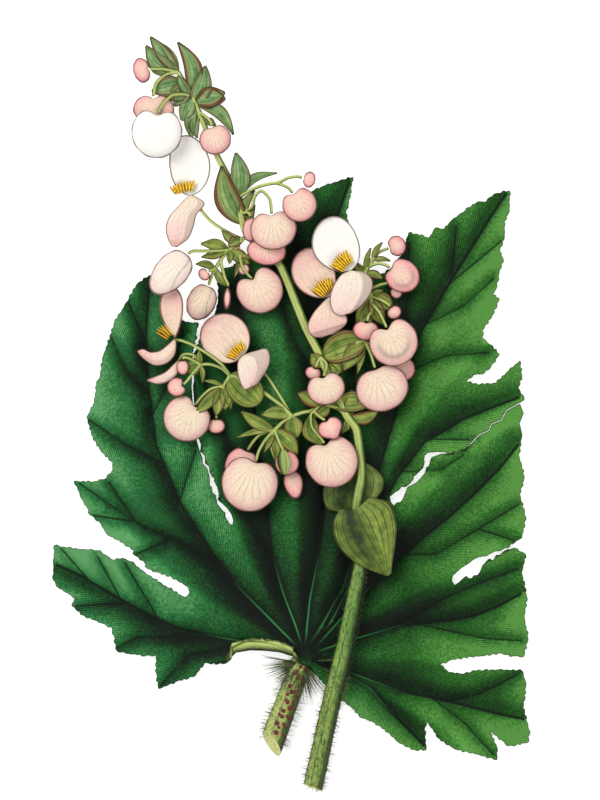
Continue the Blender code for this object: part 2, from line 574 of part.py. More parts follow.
# Bracts: place on the stem, tip, width, where it is widest, and how far it bows to the left
BRACTS_BEHIND = [
    ((-24.6, 72), (-31.5, 94), 10.5, 0.75, 2.6),
    ((-22.8, 80), (-25.8, 99.4), 8.0, 0.8, -1.2),
    ((-24.2, 83), (-9.2, 91.2), 3.6, 0.9, 3.2),
    ((-23.8, 71), (-18.2, 84.2), 4.0, 0.9, 2.0),
    ((-22.0, 67), (-18.2, 78.5), 3.2, 0.9, 0.6),
    ((-24.6, 64), (-31.4, 68.2), 3.6, 0.9, 0.4),
    ((-23.0, 66), (-28.8, 61.8), 4.6, 0.9, -0.6),
    ((-28.8, 60.6), (-39.8, 62.8), 5.0, 0.8, -0.8),
    ((-28.8, 60.0), (-39.6, 57.4), 3.6, 0.9, 0.5),
    ((-28.8, 60.2), (-28.2, 54.8), 2.8, 0.9, 0.4),
    ((-24.4, 58.4), (-26.4, 49.2), 2.4, 0.8, 0.6),
    ((-24.4, 58.4), (-19.4, 56.6), 2.2, 0.9, 0.4),
    ((-34, 53), (-41.8, 54.6), 3.2, 0.8, -0.8),
    ((-34, 53), (-28.5, 45.4), 3.2, 0.8, -1.0),
    ((-42.2, 119.5), (-38.0, 134.5), 8.0, 0.7, -1.0),
    ((-42.0, 121.5), (-49.2, 144), 7.4, 0.8, -3.4),
    ((-49.0, 132.0), (-60.2, 146.2), 6.0, 0.9, 0.2),
    ((-48.0, 130.5), (-62.0, 142.6), 8.0, 0.8, 2.6),
    ((-46.8, 128.0), (-59.6, 124.0), 8.5, 0.9, -0.6),
    ((-41.4, 118.0), (-30.0, 121.2), 7.8, 1.1, 1.4),
    ((-41.6, 118.6), (-43.6, 105.2), 5.0, 1.0, -1.2),
    ((-40.4, 115.4), (-41.4, 105.4), 4.0, 1.0, -1.6),
    ((-39.6, 113.6), (-33.8, 110.4), 3.2, 0.9, 0.8),
    ((-45.4, 126.0), (-50.4, 118.2), 6.5, 0.9, 0.6),
    ((26.4, 51.6), (28.3, 61.0), 2.4, 0.8, 0.5),
    ((28.9, 56.0), (33.0, 63.3), 2.3, 0.9, 0.6),
    ((28.8, 55.6), (36.2, 55.9), 2.2, 0.8, 0.6),
    ((26.5, 51.0), (33.4, 48.6), 3.4, 0.8, 0.5),
    ((26.4, 51.4), (21.6, 54.6), 3.4, 0.8, 0.2),
    ((28.5, 41.0), (36.8, 37.0), 3.4, 0.9, 1.6),
    ((28.5, 41.2), (33.2, 44.0), 3.0, 0.8, 0.4),
    ((28.5, 40.5), (23.0, 33.2), 3.6, 0.9, -1.6),
    ((28.4, 36.0), (25.0, 31.4), 3.0, 0.9, 0.2),
    ((25.8, 23.6), (17.2, 11.8), 7.4, 0.8, -0.4),
    ((25.8, 23.4), (23.0, 10.4), 2.8, 0.9, 0.2),
    ((8.2, 18.0), (16.6, 10.8), 5.0, 1.0, 2.4),
    ((8.4, 17.6), (4.2, 16.0), 2.4, 0.9, 0.2),
    ((7.0, -3.0), (-1.0, 2.8), 6.4, 0.9, -0.6),
    ((-3.2, -6.4), (-15.6, -6.0), 5.4, 0.9, -1.2),
    ((-2.0, -6.0), (-1.0, -15.0), 7.6, 0.9, -0.4),
    ((-10.4, -12), (-23.6, -4.6), 5.2, 0.9, 0.8),
    ((-10.4, -12), (-25.2, -15.0), 2.6, 0.9, -0.8),
    ((-10.4, -12), (-14.6, -21.2), 2.6, 0.9, 0.4),
    ((-10.4, -12), (-0.8, -21.6), 7.2, 0.9, 0.8),
    ((-10.4, -12), (-9.0, -25.8), 3.4, 0.9, 0.2),
    ((5.2, -4.2), (8.6, -18.2), 7.6, 1.3, -2.4),
    ((14.0, -2.9), (5.0, -6.6), 4.6, 0.8, 0.8),
    ((19.2, -6.8), (16.8, -13.4), 3.2, 0.9, 0.8),
    ((19.2, -6.8), (31.6, -4.4), 5.2, 1.0, -1.8),
    ((19.2, -6.8), (20.8, 4.2), 5.4, 0.9, -0.6),
    ((-40, 14.3), (-40.4, 20.0), 2.8, 0.8, 0.2),
    ((-40, 14.3), (-39.2, 6.8), 2.4, 0.8, 0.6),
    ((-30.8, 5.6), (-38.6, 7.7), 2.0, 0.9, -0.6),
    ((-30.8, 5.6), (-27.8, -3.6), 3.2, 0.9, 0.8),
]
BRACTS_ROUND = [((-28.2, 10), (-16.0, -1.2), 13.6, 1.0, 0.0), ((25.8, 23.6), (9.4, 17.6), 12.6, 0.95, -1.0)]
BRACTS_FRONT = [
    ((-42.4, 120.6), (-26.8, 106.8), 5.4, 0.9, 3.4),
    ((-49.0, 131.0), (-57.6, 144.4), 3.4, 0.8, -1.4),
    ((-44.4, 124.4), (-49.2, 130.6), 4.0, 0.9, 0.4),
]

# Closed blooms and buds, from the lowest lying to the highest: middle, width, length, notch, depth, point
# and sides, then the places of the pedicel from where it leaves the stem
BLOOMS = [
    ("bloom_tip_back", (-58.8, 117), 16.6, 12.4, (-58.8, 121.2), 5.0, 0, 12,
        [(-48.6, 131.2), (-54, 131), (-58, 127), (-58.9, 123)]),
    ("bud_tip", (-63.6, 132.5), 10.2, 6.8, (-61.0, 133.1), 4.2, 0, 8,
        [(-49, 132), (-55, 133.2), (-59, 133.2)]),
    ("bloom_tip_right", (-34, 104.6), 12.8, 12.2, (-35.4, 109.2), 5.6, 0, 12,
        [(-40.6, 116), (-37.6, 113.6), (-36, 111.6)]),
    ("bloom_tip_white", (-57.4, 107.4), 20.4, 21.0, (-57.0, 114.2), 6.4, 0, 12,
        [(-43.8, 122), (-47, 123), (-51, 122.6), (-55, 119), (-56.8, 115.8)]),
    ("bloom_upper_rose", (-13.4, 59.8), 15.8, 11.6, (-13.0, 64.0), 4.2, 0, 12,
        [(-20.8, 66.2), (-17, 68.6), (-13.6, 66.6)]),
    ("bud_upper_left", (-19.8, 68.4), 6.4, 10.2, (-19.4, 72.8), 3.0, 0, 8, [(-23.4, 73.4), (-20.8, 75)]),
    ("bloom_upper_middle", (-10.6, 68.2), 18.6, 16.4, (-11.4, 73.8), 6.2, 0, 12,
        [(-23.2, 73), (-19.2, 77.5), (-18.2, 81.5), (-15.5, 83.8), (-12.4, 81), (-11.4, 76)]),
    ("bloom_upper_right", (-0.2, 78.0), 13.8, 14.0, (-2.4, 82.2), 5.8, 0, 12,
        [(-24.2, 79.5), (-19, 84.6), (-14, 86.2), (-9, 86.6), (-5, 85)]),
    ("bud_upper_right", (3.7, 87.9), 6.6, 5.0, (1.5, 88.4), 3.0, 0, 8,
        [(-9.6, 86.6), (-5, 88.6), (-1, 89.2)]),
    ("bud_upper_small", (-22.5, 52.4), 4.6, 4.4, (-23.2, 54.0), 2.6, 0, 8, [(-24.4, 58), (-23.8, 55.6)]),
    ("bloom_middle", (-16.2, 44.2), 18.8, 19.2, (-18.8, 48.4), 6.4, 0, 12,
        [(-24.4, 58), (-23, 53), (-20.6, 49.8)]),
    ("bud_narrow", (-29.2, 40.8), 2.8, 9.4, (-29.0, 45.0), 2.2, 0, 8,
        [(-32.4, 55.4), (-30.2, 49), (-29, 46.6)]),
    ("bud_left_small", (-38.5, 50.4), 5.2, 4.4, (-37.2, 51.4), 2.6, 0, 8, [(-34, 53), (-36, 52)]),
    ("bloom_left_drooping", (-39.6, 39.6), 11.6, 15.6, (-36.8, 45.8), 5.0, 0, 12,
        [(-33.6, 53.4), (-35.4, 50), (-36.4, 47.4)]),
    ("bloom_left_folded", (-51.2, 51.6), 13.4, 21.0, (-45.2, 58.2), 5.6, 1.2, 12,
        [(-28.8, 60.4), (-36, 59.8), (-43, 59.6)]),
    ("bud_right_under", (38.7, 43.2), 4.8, 5.0, (38.2, 45.2), 2.6, 0, 8,
        [(28.5, 44), (33, 46.4), (37, 47)]),
    ("bloom_right_rose", (40.9, 49.8), 13.2, 14.6, (36.6, 52.6), 5.4, 0, 12,
        [(28.2, 54.4), (31.6, 54.8), (35, 53.8)]),
    ("bud_right_top", (38.9, 62.0), 8.4, 7.4, (36.1, 61.1), 3.8, 0, 8,
        [(28.9, 56.2), (31.6, 59.2), (34.4, 60.6)]),
    ("bud_right_edge", (37.8, 35.1), 6.0, 5.2, (36.4, 36.8), 3.0, 0, 8,
        [(28.6, 41), (32.6, 40), (35.4, 38.2)]),
    ("bud_right_pair", (26.4, 27.9), 10.6, 8.2, (26.7, 30.8), 4.4, 0, 12, [(28.4, 36), (27.4, 34)]),
    ("bloom_right_back", (41.4, 12.6), 9.6, 10.0, (38.6, 15.8), 3.4, 0, 8,
        [(25.9, 23.6), (31, 20), (36, 17.6)]),
    ("bloom_right_low", (32.9, 4.8), 21.4, 18.8, (30.2, 12.2), 6.4, 0, 12,
        [(25.8, 23.2), (28.4, 18), (29.6, 14)]),
    ("bloom_right", (37.4, 23.2), 19.6, 19.4, (34.9, 28.2), 6.6, 0, 12,
        [(28.5, 40), (31.4, 35.5), (33.6, 31)]),
    ("bud_centre_back", (5.3, 10.8), 6.6, 5.4, (5.9, 12.4), 2.8, 0, 8, [(8.2, 17.8), (6.8, 14.8)]),
    ("bloom_centre_low", (10.4, 4.7), 15.4, 13.4, (9.3, 8.8), 5.6, 0, 12,
        [(9.4, 17), (10.6, 13.8), (9.8, 11.2)]),
    ("bloom_low_right", (12.7, -24.4), 21.2, 21.6, (10.2, -18.0), 6.8, 0, 12,
        [(6.4, -3.2), (4.3, -6), (4.6, -10.5), (8.2, -15.4)]),
    ("bud_heart", (12.0, -11.0), 10.2, 8.2, (10.6, -8.6), 4.0, 1.2, 12, [(4.6, -4.4), (7.6, -6.6)]),
    ("bloom_low_back", (-23.6, -26.0), 13.0, 15.0, (-21.4, -20.6), 4.4, 0, 12,
        [(-10.4, -12), (-16, -13.8), (-19.4, -17.4)]),
    ("bloom_low_large", (-20.1, -33.3), 22.8, 23.0, (-17.8, -25.0), 7.2, 0, 12,
        [(-10.4, -12), (-14, -16), (-16.6, -20.5), (-17.4, -23.2)]),
    ("bud_low_pointed", (-2.7, -33.2), 7.8, 10.6, (-3.6, -28.6), 4.4, 1.4, 12,
        [(-10.4, -12), (-11.6, -19), (-8.6, -25.6), (-5, -27.6)]),
    ("bloom_low_rose", (-5.2, -25.2), 9.6, 9.8, (-6.6, -21.2), 3.6, 0, 8,
        [(-10.4, -12), (-8.4, -17), (-7.2, -19.4)]),
    ("bud_left_low", (-33.7, -10.4), 7.4, 6.2, (-33.7, -8.0), 3.4, 0, 8,
        [(-30.8, 5.6), (-32.4, 0), (-33.6, -5.4)]),
    ("bloom_left_low", (-45.4, -7.3), 19.0, 18.8, (-42.2, -2.6), 6.4, 0, 12,
        [(-30.8, 5.6), (-35.6, 4.6), (-39.4, 1.4), (-41.4, -1)]),
    ("bud_left_kidney", (-49.3, 5.2), 7.6, 7.8, (-47.4, 5.8), 3.6, 0, 8,
        [(-40, 14.3), (-43, 10.8), (-45.4, 7.6)]),
    ("bud_left_round", (-47.0, 13.2), 5.0, 6.6, (-47.2, 15.6), 3.2, 0, 8,
        [(-39.6, 14.4), (-44, 16.6), (-46.6, 17.2)]),
]

# Open blooms, each from its own base: petals as (left, right) edge places, then the stamens
# (base, tip, spread) and the places of the pedicel
OPEN_BLOOMS = [
    ("open_bloom_behind", (11.8, 41.4), [
        ("round", (11.6, 41.4), (0.8, 59.8), 17.0, 1.15, 0.6),
        ("rows", [((11.2, 41.2), (12.6, 41.2)), ((8.8, 38.8), (13.8, 38.6)),
                  ((5.2, 34.6), (16.4, 36)), ((3.0, 29.6), (18.8, 33)), ((4.6, 25.8), (18.2, 30.2)),
                  ((8.4, 25), (13.6, 26.6))]),
    ], ((11.6, 42.0), (8.6, 46.2), 7.0), [(28.6, 41.4), (21, 40.6), (13.4, 41.2)]),
    ("open_bloom_white", (20.4, 51.8), [
        ("round", (20.2, 51.8), (10.6, 72.6), 18.6, 1.1, 1.2),
        ("rows", [((19.4, 51.4), (21.0, 51.8)), ((16.4, 50), (26.2, 50.6)),
                  ((13.4, 45.6), (29.0, 47.6)), ((11.9, 40.6), (28.4, 43)),
                  ((13.0, 35.6), (24.8, 38.2)), ((16.4, 33.5), (20.4, 34.8))]),
    ], ((19.8, 52.4), (15.8, 56.4), 7.2), [(26.4, 51.2), (22.2, 51.6)]),
    ("open_bloom_centre", (-22.8, 17.4), [
        ("round", (-22.8, 17.4), (-37.4, 31.6), 19.6, 1.0, -0.4),
        ("rows", [((-23.8, 17.0), (-22.2, 18.2)), ((-25, 14.4), (-17.4, 19.6)),
                  ((-24.8, 10), (-13, 20.3)), ((-23.6, 6), (-12.4, 14.4)), ((-22.2, 3.8), (-17.6, 5.6))]),
    ], ((-23.6, 17.8), (-26.2, 20.4), 7.0),
        [(-3.2, -6.4), (-8.4, 2.4), (-13.4, 9.8), (-18, 14.6), (-21.6, 17.0)]),
    ("open_bloom_left", (-50.2, 24.4), [
        ("round", (-50.2, 25.2), (-51.6, 45.0), 9.4, 1.5, 0.6),
        ("rows", [((-50.8, 24.4), (-49.6, 23.6)), ((-52.6, 22.6), (-50.2, 18.4)),
                  ((-56.2, 19.8), (-53, 15)), ((-60, 19.2), (-57.6, 13.8)),
                  ((-63, 20.4), (-61.4, 15.6)), ((-65.4, 19.6), (-64.6, 18.6))]),
    ], ((-51.4, 24.6), (-55.4, 28.2), 3.6),
        [(-28.2, 10), (-31, 14), (-37, 18.6), (-44, 22.6), (-48.8, 24.2)]),
    ("open_bloom_upper", (-43.6, 82.2), [
        ("round", (-43.8, 82.4), (-46.4, 106.2), 16.4, 1.0, -0.8),
        ("rows", [((-45, 82), (-42.6, 82.2)), ((-48, 79), (-38.4, 79)), ((-52.4, 74), (-41.6, 74.6)),
                  ((-54, 69), (-42.8, 70)), ((-53, 64.4), (-45, 65)), ((-51.4, 61.8), (-49.6, 61.6))]),
    ], ((-46.2, 82.6), (-47.2, 86.6), 8.2),
        [(-24, 64.4), (-31, 68.6), (-36.4, 72.4), (-40.2, 77), (-42.4, 80.8)]),
    ("open_bloom_sickle", (-49.0, 15.6), [
        ("rows", [((-48.8, 16.2), (-48.2, 15.2)), ((-51, 14), (-48.6, 11.6)),
                  ((-54, 11.2), (-51.4, 8)), ((-58, 9.4), (-56.6, 6.4)), ((-61.4, 8.1), (-61.2, 7.5))]),
    ], None, [(-39.8, 14.4), (-42.6, 18), (-46.6, 18.4), (-48.2, 16.8)]),
]

# The large pair of bracts: rows of places across each blade, from its base to its tip
BRACT_LOWER_BACK = [
    ((20, -45), (24.4, -44.4)), ((11.4, -44), (29.6, -40.6)), ((9.2, -38.4), (33.2, -36)),
    ((10.4, -32), (33.4, -31)), ((14.6, -27.4), (29, -26.6)), ((19.4, -24.6), (23.4, -24)),
]
BRACT_LOWER_FRONT = [
    ((15.6, -43.8), (22.4, -43.8), (28.4, -38.6)), ((13.2, -49), (24.2, -48.2), (36, -41.4)),
    ((13.8, -55), (27, -54), (38.6, -49)), ((17, -60.6), (30, -59.6), (38.2, -57)),
    ((23.6, -66), (32.8, -65), (37, -64.4)), ((33.6, -70), (35.2, -70.3), (36.4, -69.2)),
]


def join(name, pieces, material, parent):
    """One object from pieces that grow together."""
    body = solid(name, *pieces[0], material, parent)
    helpers = bpy.data.collections.new(name + "_pieces")
    bpy.context.scene.collection.children.link(helpers)
    for number, piece in enumerate(pieces[1:]):
        other = solid(f"{name}_piece_{number}", *piece, material, parent)
        bpy.context.scene.collection.objects.unlink(other)
        helpers.objects.link(other)
    union = body.modifiers.new("grown together", "BOOLEAN")
    union.operation = "UNION"
    union.operand_type = "COLLECTION"
    union.collection = helpers
    # The exact solver leaves slivers without volume where thin blades cross, this one doesn't
    union.solver = "MANIFOLD"
    bpy.context.view_layer.update()
    grown = bpy.data.meshes.new_from_object(body.evaluated_get(bpy.context.evaluated_depsgraph_get()))
    body.modifiers.clear()
    body.data = grown
    grown.name = name
    for other in list(helpers.objects):
        bpy.data.objects.remove(other, do_unlink=True)
    bpy.data.collections.remove(helpers)
    return body


def raised(piece, rise):
    points, faces = piece
    return [(x, y, z + rise) for x, y, z in points], faces


def as_one(pieces):
    """The points and faces of several pieces in one list, to lay them down together."""
    points, faces = [], []
    for more, sides in pieces:
        faces += [tuple(k + len(points) for k in side) for side in sides]
        points += list(more)
    return points, faces


def lay(pieces):
    """Lays pieces down together on what is there, and marks them on both height maps."""
    together = as_one(pieces)
    rise = rise_to_clear(*together, "all")
    cover(*raised(together, rise), ("all", "not_stem"))
    return [raised(piece, rise) for piece in pieces], rise


class Stem:
    """The flowering stem while it grows: its pieces, and the middle lines that more can grow from."""

    def __init__(self):
        self.pieces = []
        self.lines = []

    def nearest(self, place):
        line = np.concatenate(self.lines)
        return tuple(line[np.argmin(np.linalg.norm(line[:, :2] - place, axis=1))].tolist())

    def add(self, piece):
        self.pieces.append(piece)
        cover(*piece, ("all",))

    def add_axis(self):
        path = smooth_path(AXIS, 5.0)
        for _ in range(6):
            path[:, 2] = np.maximum(path[:, 2], height_under(path, "not_stem") + path[:, 3] + GAP)
            path[1:-1, 2] = np.maximum(path[1:-1, 2], 0.5 * (path[:-2, 2] + path[2:, 2]))
        self.lines.append(path[:, :3])
        path = thinned(path, 0.3)
        self.add(tube(path[:, :3], list(path[:, 3]), 8, CUT_LEAN / AXIS[0][3]))

    def add_rope(self, marks, radius, sides, free_ends):
        path = rope_over(marks, radius, "not_stem", free_ends)
        self.lines.append(path)
        self.add(tube(thinned(path, 0.25), radius, sides))

    def add_branch(self, radius, places):
        first = self.nearest(places[0])
        marks = [first] + [(*place, first[2] + 0.4) for place in places[1:]]
        self.add_rope(marks, radius, 5, (2.0, 0.0))

    def add_pedicel(self, places, end, free_end=3.0):
        """From the stem to a bloom's base, which has already been laid down or will lie on it."""
        first = self.nearest(places[0])
        count = len(places)
        marks = [first]
        for number, place in enumerate(places[1:], start=1):
            share = number / count
            marks.append((*place, (1 - share) * first[2] + share * end[2] + math.sin(math.pi * share)))
        marks.append(end)
        self.add_rope(marks, PEDICEL_RADIUS, 4, (2.0, free_end))

    def add_bract(self, place, tip, width, shape, bow, rounded=False):
        base = self.nearest(place)
        broad = width > 4.5
        rows = fan_rows(base[:2], tip, width, shape, bow, 5 if width > 7 else 4, rounded)
        grid = row_grid(rows, 3 if broad else 2, base[2], BRACT_RISE, BRACT_ARCH, 0.05 * width)
        self.add(sheet(clear_of(grid, BRACT_THICKNESS, "not_stem"), BRACT_THICKNESS))


def stamen_tuft(base, tip, spread):
    """Fingers fanned out from one short bar."""
    base, tip = Vector((*base, 0.9)), Vector((*tip, 0.9))
    ahead = tip - base
    across = Vector((-ahead.y, ahead.x, 0)).normalized()
    bar = 0.22 * spread * across
    pieces = [tube([base - bar - 0.3 * across, base, base + bar + 0.3 * across], 0.85, 6)]
    for s in (-1.0, -0.5, 0.0, 0.5, 1.0):
        root = base + s * bar
        end = base + ahead * (1 - 0.12 * s * s) + 0.5 * spread * s * across
        middle = 0.5 * (root + end) + Vector((0, 0, 0.5 - 0.3 * s * s))
        end.z += 0.5 - 0.4 * s * s
        pieces.append(tube([root, middle, end], [0.5, 0.7, 0.5], 3))
    return pieces


def open_petals(petals, base):
    """The petals of an open bloom round a small knob, with the first one lowest."""
    pieces = [tube([(*base, -1.1), (base[0], base[1] + 0.02, 1.3)], 0.9, 6)]
    for number, (kind, *form) in enumerate(petals):
        lowest = number == 0 and len(petals) > 1
        rows = fan_rows(*form, 7, rounded=True) if kind == "round" else form[0]
        bend = (0.0, 1.6, -0.8, 1.5) if lowest else (0.3, 0.6, 1.6, -1.0)
        pieces.append(sheet(row_grid(rows, 5, *bend), PETAL_THICKNESS))
    return pieces


def build():
    clear_scene()
    top, cut = Vector(STALK_TOP), Vector(STALK_CUT)
    origin = top.lerp(cut, REST_SHARE)
    plant = bpy.data.objects.new("plant", None)
    plant.location = (-origin.x * MM, -origin.y * MM, 0.0)
    bpy.context.scene.collection.objects.link(plant)
    leaf_green = finish("leaf green", (0.05, 0.19, 0.06), 0.5)
    stalk_green = finish("stalk green", (0.24, 0.40, 0.09), 0.55)
    stem_green = finish("stem green", (0.31, 0.42, 0.11), 0.55)
    petal_pink = finish("petal pink", (0.90, 0.66, 0.58), 0.5)
    petal_white = finish("petal white", (0.93, 0.89, 0.86), 0.5)
    stamen_yellow = finish("stamen yellow", (0.90, 0.55, 0.03), 0.6)
    pod_green = finish("pod green", (0.45, 0.50, 0.12), 0.5)

    blade = blade_solid()
    solid("leaf_blade", *blade, leaf_green, plant)
    cover(*blade, ("all", "not_stem"))

    # Each ring's middle is as high as its flat side is far out, so the stalk lies flat on one side
    shares = (0.0, 0.35, 0.7, 1.0)
    radii = [STALK_RADIUS[1] + share * (STALK_RADIUS[0] - STALK_RADIUS[1]) for share in shares]
    path = []
    for share, radius in zip(shares, radii):
        place = cut.lerp(top, share)
        path.append((place.x, place.y, radius * math.cos(math.pi / STALK_SIDES)))
    stalk = [tube(path, radii, STALK_SIDES, CUT_LEAN / STALK_RADIUS[1])]
    ring_middle = Vector((*top.lerp(cut, 0.14), 4.4))
    for number in range(SCALE_COUNT):
        turn = math.radians(192 + 150 * number / (SCALE_COUNT - 1))
        length = SCALE_LENGTH * (0.85 + 0.15 * math.cos(5 * turn))
        ahead = Vector((math.cos(turn), math.sin(turn), 0))
        ahead.z = 0.14 * math.sin(9 * turn)
        marks = [ring_middle + share * length * ahead for share in (0.3, 0.75, 1.05)]
        stalk.append(tube(marks, [0.9, 0.55, 0.3], 4))
    join("leaf_stalk", stalk, stalk_green, plant)
    cover(*as_one(stalk), ("all", "not_stem"))

    back = sheet(row_grid(BRACT_LOWER_BACK, 5, 0.0, 0.6, 0.4, 0.6), BRACT_THICKNESS)
    (back,), _ = lay([back])
    solid("bract_lower_back", *back, stem_green, plant)

    stem = Stem()
    stem.add_axis()
    for radius, places in BRANCHES:
        stem.add_branch(radius, places)
    front = sheet(row_grid(BRACT_LOWER_FRONT, 5, 0.0, -0.4, 1.4, -0.9), BRACT_THICKNESS)
    (front,), _ = lay([front])
    solid("bract_lower_front", *front, stem_green, plant)
    for bract in BRACTS_BEHIND:
        stem.add_bract(*bract)
    for bract in BRACTS_ROUND:
        stem.add_bract(*bract, rounded=True)

    for name, base, petals, tuft, pedicel in OPEN_BLOOMS:
        floor = float(height_under(np.array([base]), "not_stem")[0]) + PEDICEL_RADIUS + GAP
        stem.add_pedicel(pedicel, (*base, floor), 0.0)
        pieces, _ = lay(open_petals(petals, base))
        join(name, pieces, petal_white if "white" in name or "upper" in name else petal_pink, plant)
        if tuft:
            fingers, _ = lay(stamen_tuft(*tuft))
            join(name.replace("open_bloom", "stamens"), fingers, stamen_yellow, plant)
    for name, centre, wide, long, notch, deep, point, sides, pedicel in BLOOMS:
        shell = bloom_shell(centre, wide, long, notch, deep, point, sides)
        (shell,), rise = lay([shell])
        solid(name, *shell, petal_white if "white" in name else petal_pink, plant)
        short = (Vector(pedicel[-1]) - Vector(notch)).normalized() * PEDICEL_SHORT
        stem.add_pedicel(pedicel, (notch[0] + short.x, notch[1] + short.y, rise))
    pod = bloom_shell((-6.5, -24.2), 6.4, 9.8, (-6.9, -19.6), 4.0, 0.6, 8)
    (pod,), _ = lay([pod])
    solid("seed_pod", *pod, pod_green, plant)
    for bract in BRACTS_FRONT:
        stem.add_bract(*bract)
    join("flower_stem", stem.pieces, stem_green, plant)


build()
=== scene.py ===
# %% [markdown]
# # A begonia leaf with its flowering stem
# The part is one plant's leaf and flowering stem, cut and laid flat on a table. This lesson dresses the
# plain solids of the part: it rebuilds every piece finer, over the same places and sizes, and gives each
# a finish of its own. Places are in millimetres as seen from above, x to the right and y towards the tip.

import math

import bpy
import numpy as np
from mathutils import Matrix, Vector, geometry


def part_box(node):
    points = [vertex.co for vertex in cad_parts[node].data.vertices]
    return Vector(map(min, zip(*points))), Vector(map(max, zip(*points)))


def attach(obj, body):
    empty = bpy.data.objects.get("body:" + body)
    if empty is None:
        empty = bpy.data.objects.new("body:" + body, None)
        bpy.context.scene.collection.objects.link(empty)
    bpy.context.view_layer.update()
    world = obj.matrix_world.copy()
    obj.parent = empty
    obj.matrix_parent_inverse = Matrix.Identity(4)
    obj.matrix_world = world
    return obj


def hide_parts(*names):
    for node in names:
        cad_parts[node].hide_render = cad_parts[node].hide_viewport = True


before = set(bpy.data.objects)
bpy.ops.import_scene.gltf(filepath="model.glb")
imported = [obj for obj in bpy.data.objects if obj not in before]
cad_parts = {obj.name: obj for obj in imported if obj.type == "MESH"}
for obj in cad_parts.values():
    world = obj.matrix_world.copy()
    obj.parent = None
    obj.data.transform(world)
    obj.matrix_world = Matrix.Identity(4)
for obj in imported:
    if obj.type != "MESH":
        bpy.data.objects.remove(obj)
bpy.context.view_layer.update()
MM = 0.001
GAP = 0.4
scene = bpy.context.scene
print("solids:", len(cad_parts))

# %% [markdown]
# The origin lies under the leaf stalk, a quarter of the way from the leaf's heart to the stalk's cut.
# One function turns millimetres on the drawing board into metres round that origin, and one hands the
# finished piece to the frame in place of the solid that it stands for.

# %% From the drawing board to the world
STALK_TOP = np.array([2.6, -100.5])
STALK_CUT = np.array([-11.4, -138.0])
REST_SHARE = 0.25
ORIGIN = STALK_TOP + REST_SHARE * (STALK_CUT - STALK_TOP)


def node_heights(node):
    """Lowest and highest height of a solid, in millimetres."""
    low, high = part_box(node)
    return low.z / MM, high.z / MM


def make_piece(name, points, faces, material, layers=None):
    """A smooth mesh from places in millimetres, with number layers for its finish to read."""
    mesh = bpy.data.meshes.new(name)
    places = (np.asarray(points, float) - (*ORIGIN, 0.0)) * MM
    mesh.from_pydata(places.tolist(), [], [tuple(face) for face in faces])
    for layer, values in (layers or {}).items():
        stored = mesh.attributes.new(layer, "FLOAT", "POINT")
        stored.data.foreach_set("value", np.asarray(values, np.float32))
    mesh.materials.append(material)
    mesh.shade_smooth()
    made = bpy.data.objects.new(name, mesh)
    scene.collection.objects.link(made)
    return made


def hand_over(piece, slot, *nodes):
    """The piece lies still with the part and stands for the solids named."""
    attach(piece, "root")
    if nodes:
        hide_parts(*nodes)
    print(piece.name, len(piece.data.polygons), "faces")


# %% [markdown]
# ## Finishes
# Every colour is written as the sRGB hex value that the eye sees, and one function turns it into the
# linear value that the renderer needs. One small function adds a node with its settings and links.

# %% Colour and nodes
def linear(colour):
    """An sRGB hex colour as linear light."""
    parts = [int(colour[k : k + 2], 16) / 255 for k in (1, 3, 5)]
    return tuple(part / 12.92 if part <= 0.04045 else ((part + 0.055) / 1.055) ** 2.4 for part in parts)


def add(tree, kind, inputs=None, stops=None, **settings):
    """A node with its settings, its links or values by socket, and its ramp's stops."""
    made = tree.nodes.new(kind)
    for setting, value in settings.items():
        setattr(made, setting, value)
    if stops:
        ends = made.color_ramp.elements
        ends[0].position, ends[-1].position = stops[0][0], stops[-1][0]
        for place, colour in stops[1:-1]:
            ends.new(place)
        for place, colour in stops:
            mark = min(made.color_ramp.elements, key=lambda item: abs(item.position - place))
            mark.color = (*linear(colour), 1.0)
    for socket, value in (inputs or {}).items():
        if isinstance(value, bpy.types.NodeSocket):
            tree.links.new(value, made.inputs[socket])
        else:
            made.inputs[socket].default_value = value
    return made


def new_finish(name, roughness, **values):
    """A Principled surface with its fixed values, ready for its colour and bump."""
    material = bpy.data.materials.new(name)
    material.use_nodes = True
    shader = material.node_tree.nodes["Principled BSDF"]
    shader.inputs["Roughness"].default_value = roughness
    for socket, value in values.items():
        shader.inputs[socket.replace("_", " ")].default_value = value
    return material, material.node_tree, shader


# %% [markdown]
# ### The leaf's upper side
# Living leaf: a thin waxy skin over dark green flesh. Painted light lies on the crowns between the veins,
# and the veins are near-black lines with painted shade in their valleys. The layers that the mesh carries
# say how far each point is from a long vein, from a side vein and from the margin, so lines keep their real
# width wherever the blade bends. Fine parallel veinlets run slanting from the long veins, 0.7 mm apart, and
# are drawn darker where the painted shade is deeper. The tone layer carries that painted light and shade.
# Near the heart the long veins stand up as light ribs between two dark lines.

# %% Leaf finish
VEINLET_SPACING = 0.7
leaf_skin, tree, shader = new_finish("leaf skin, waxy and pleated", 0.65, Specular_IOR_Level=0.14)
layer = {name: add(tree, "ShaderNodeAttribute", attribute_name=name).outputs["Fac"]
         for name in ("vein", "side_vein", "veinlet", "hatch", "rib", "rim", "tone_and_painted_shading", "flap", "warmth")}
place = add(tree, "ShaderNodeTexCoord").outputs["Object"]
cloud = add(tree, "ShaderNodeTexNoise", {"Vector": place, "Scale": 60.0, "Detail": 4.0}).outputs["Fac"]
grain = add(tree, "ShaderNodeTexNoise", {"Vector": place, "Scale": 1000.0, "Detail": 3.0}).outputs["Fac"]
# The tone layer holds painted light and shade; noise mottles it.
tone_and_painted_shading = add(tree, "ShaderNodeMath", {0: cloud, 1: 0.3, 2: layer["tone_and_painted_shading"]}, operation="MULTIPLY_ADD").outputs[0]
tone_and_painted_shading = add(tree, "ShaderNodeMath", {0: grain, 1: 0.6, 2: tone_and_painted_shading}, operation="MULTIPLY_ADD").outputs[0]
tone_and_painted_shading = add(tree, "ShaderNodeMath", {0: tone_and_painted_shading, 1: 0.3}, operation="SUBTRACT").outputs[0]
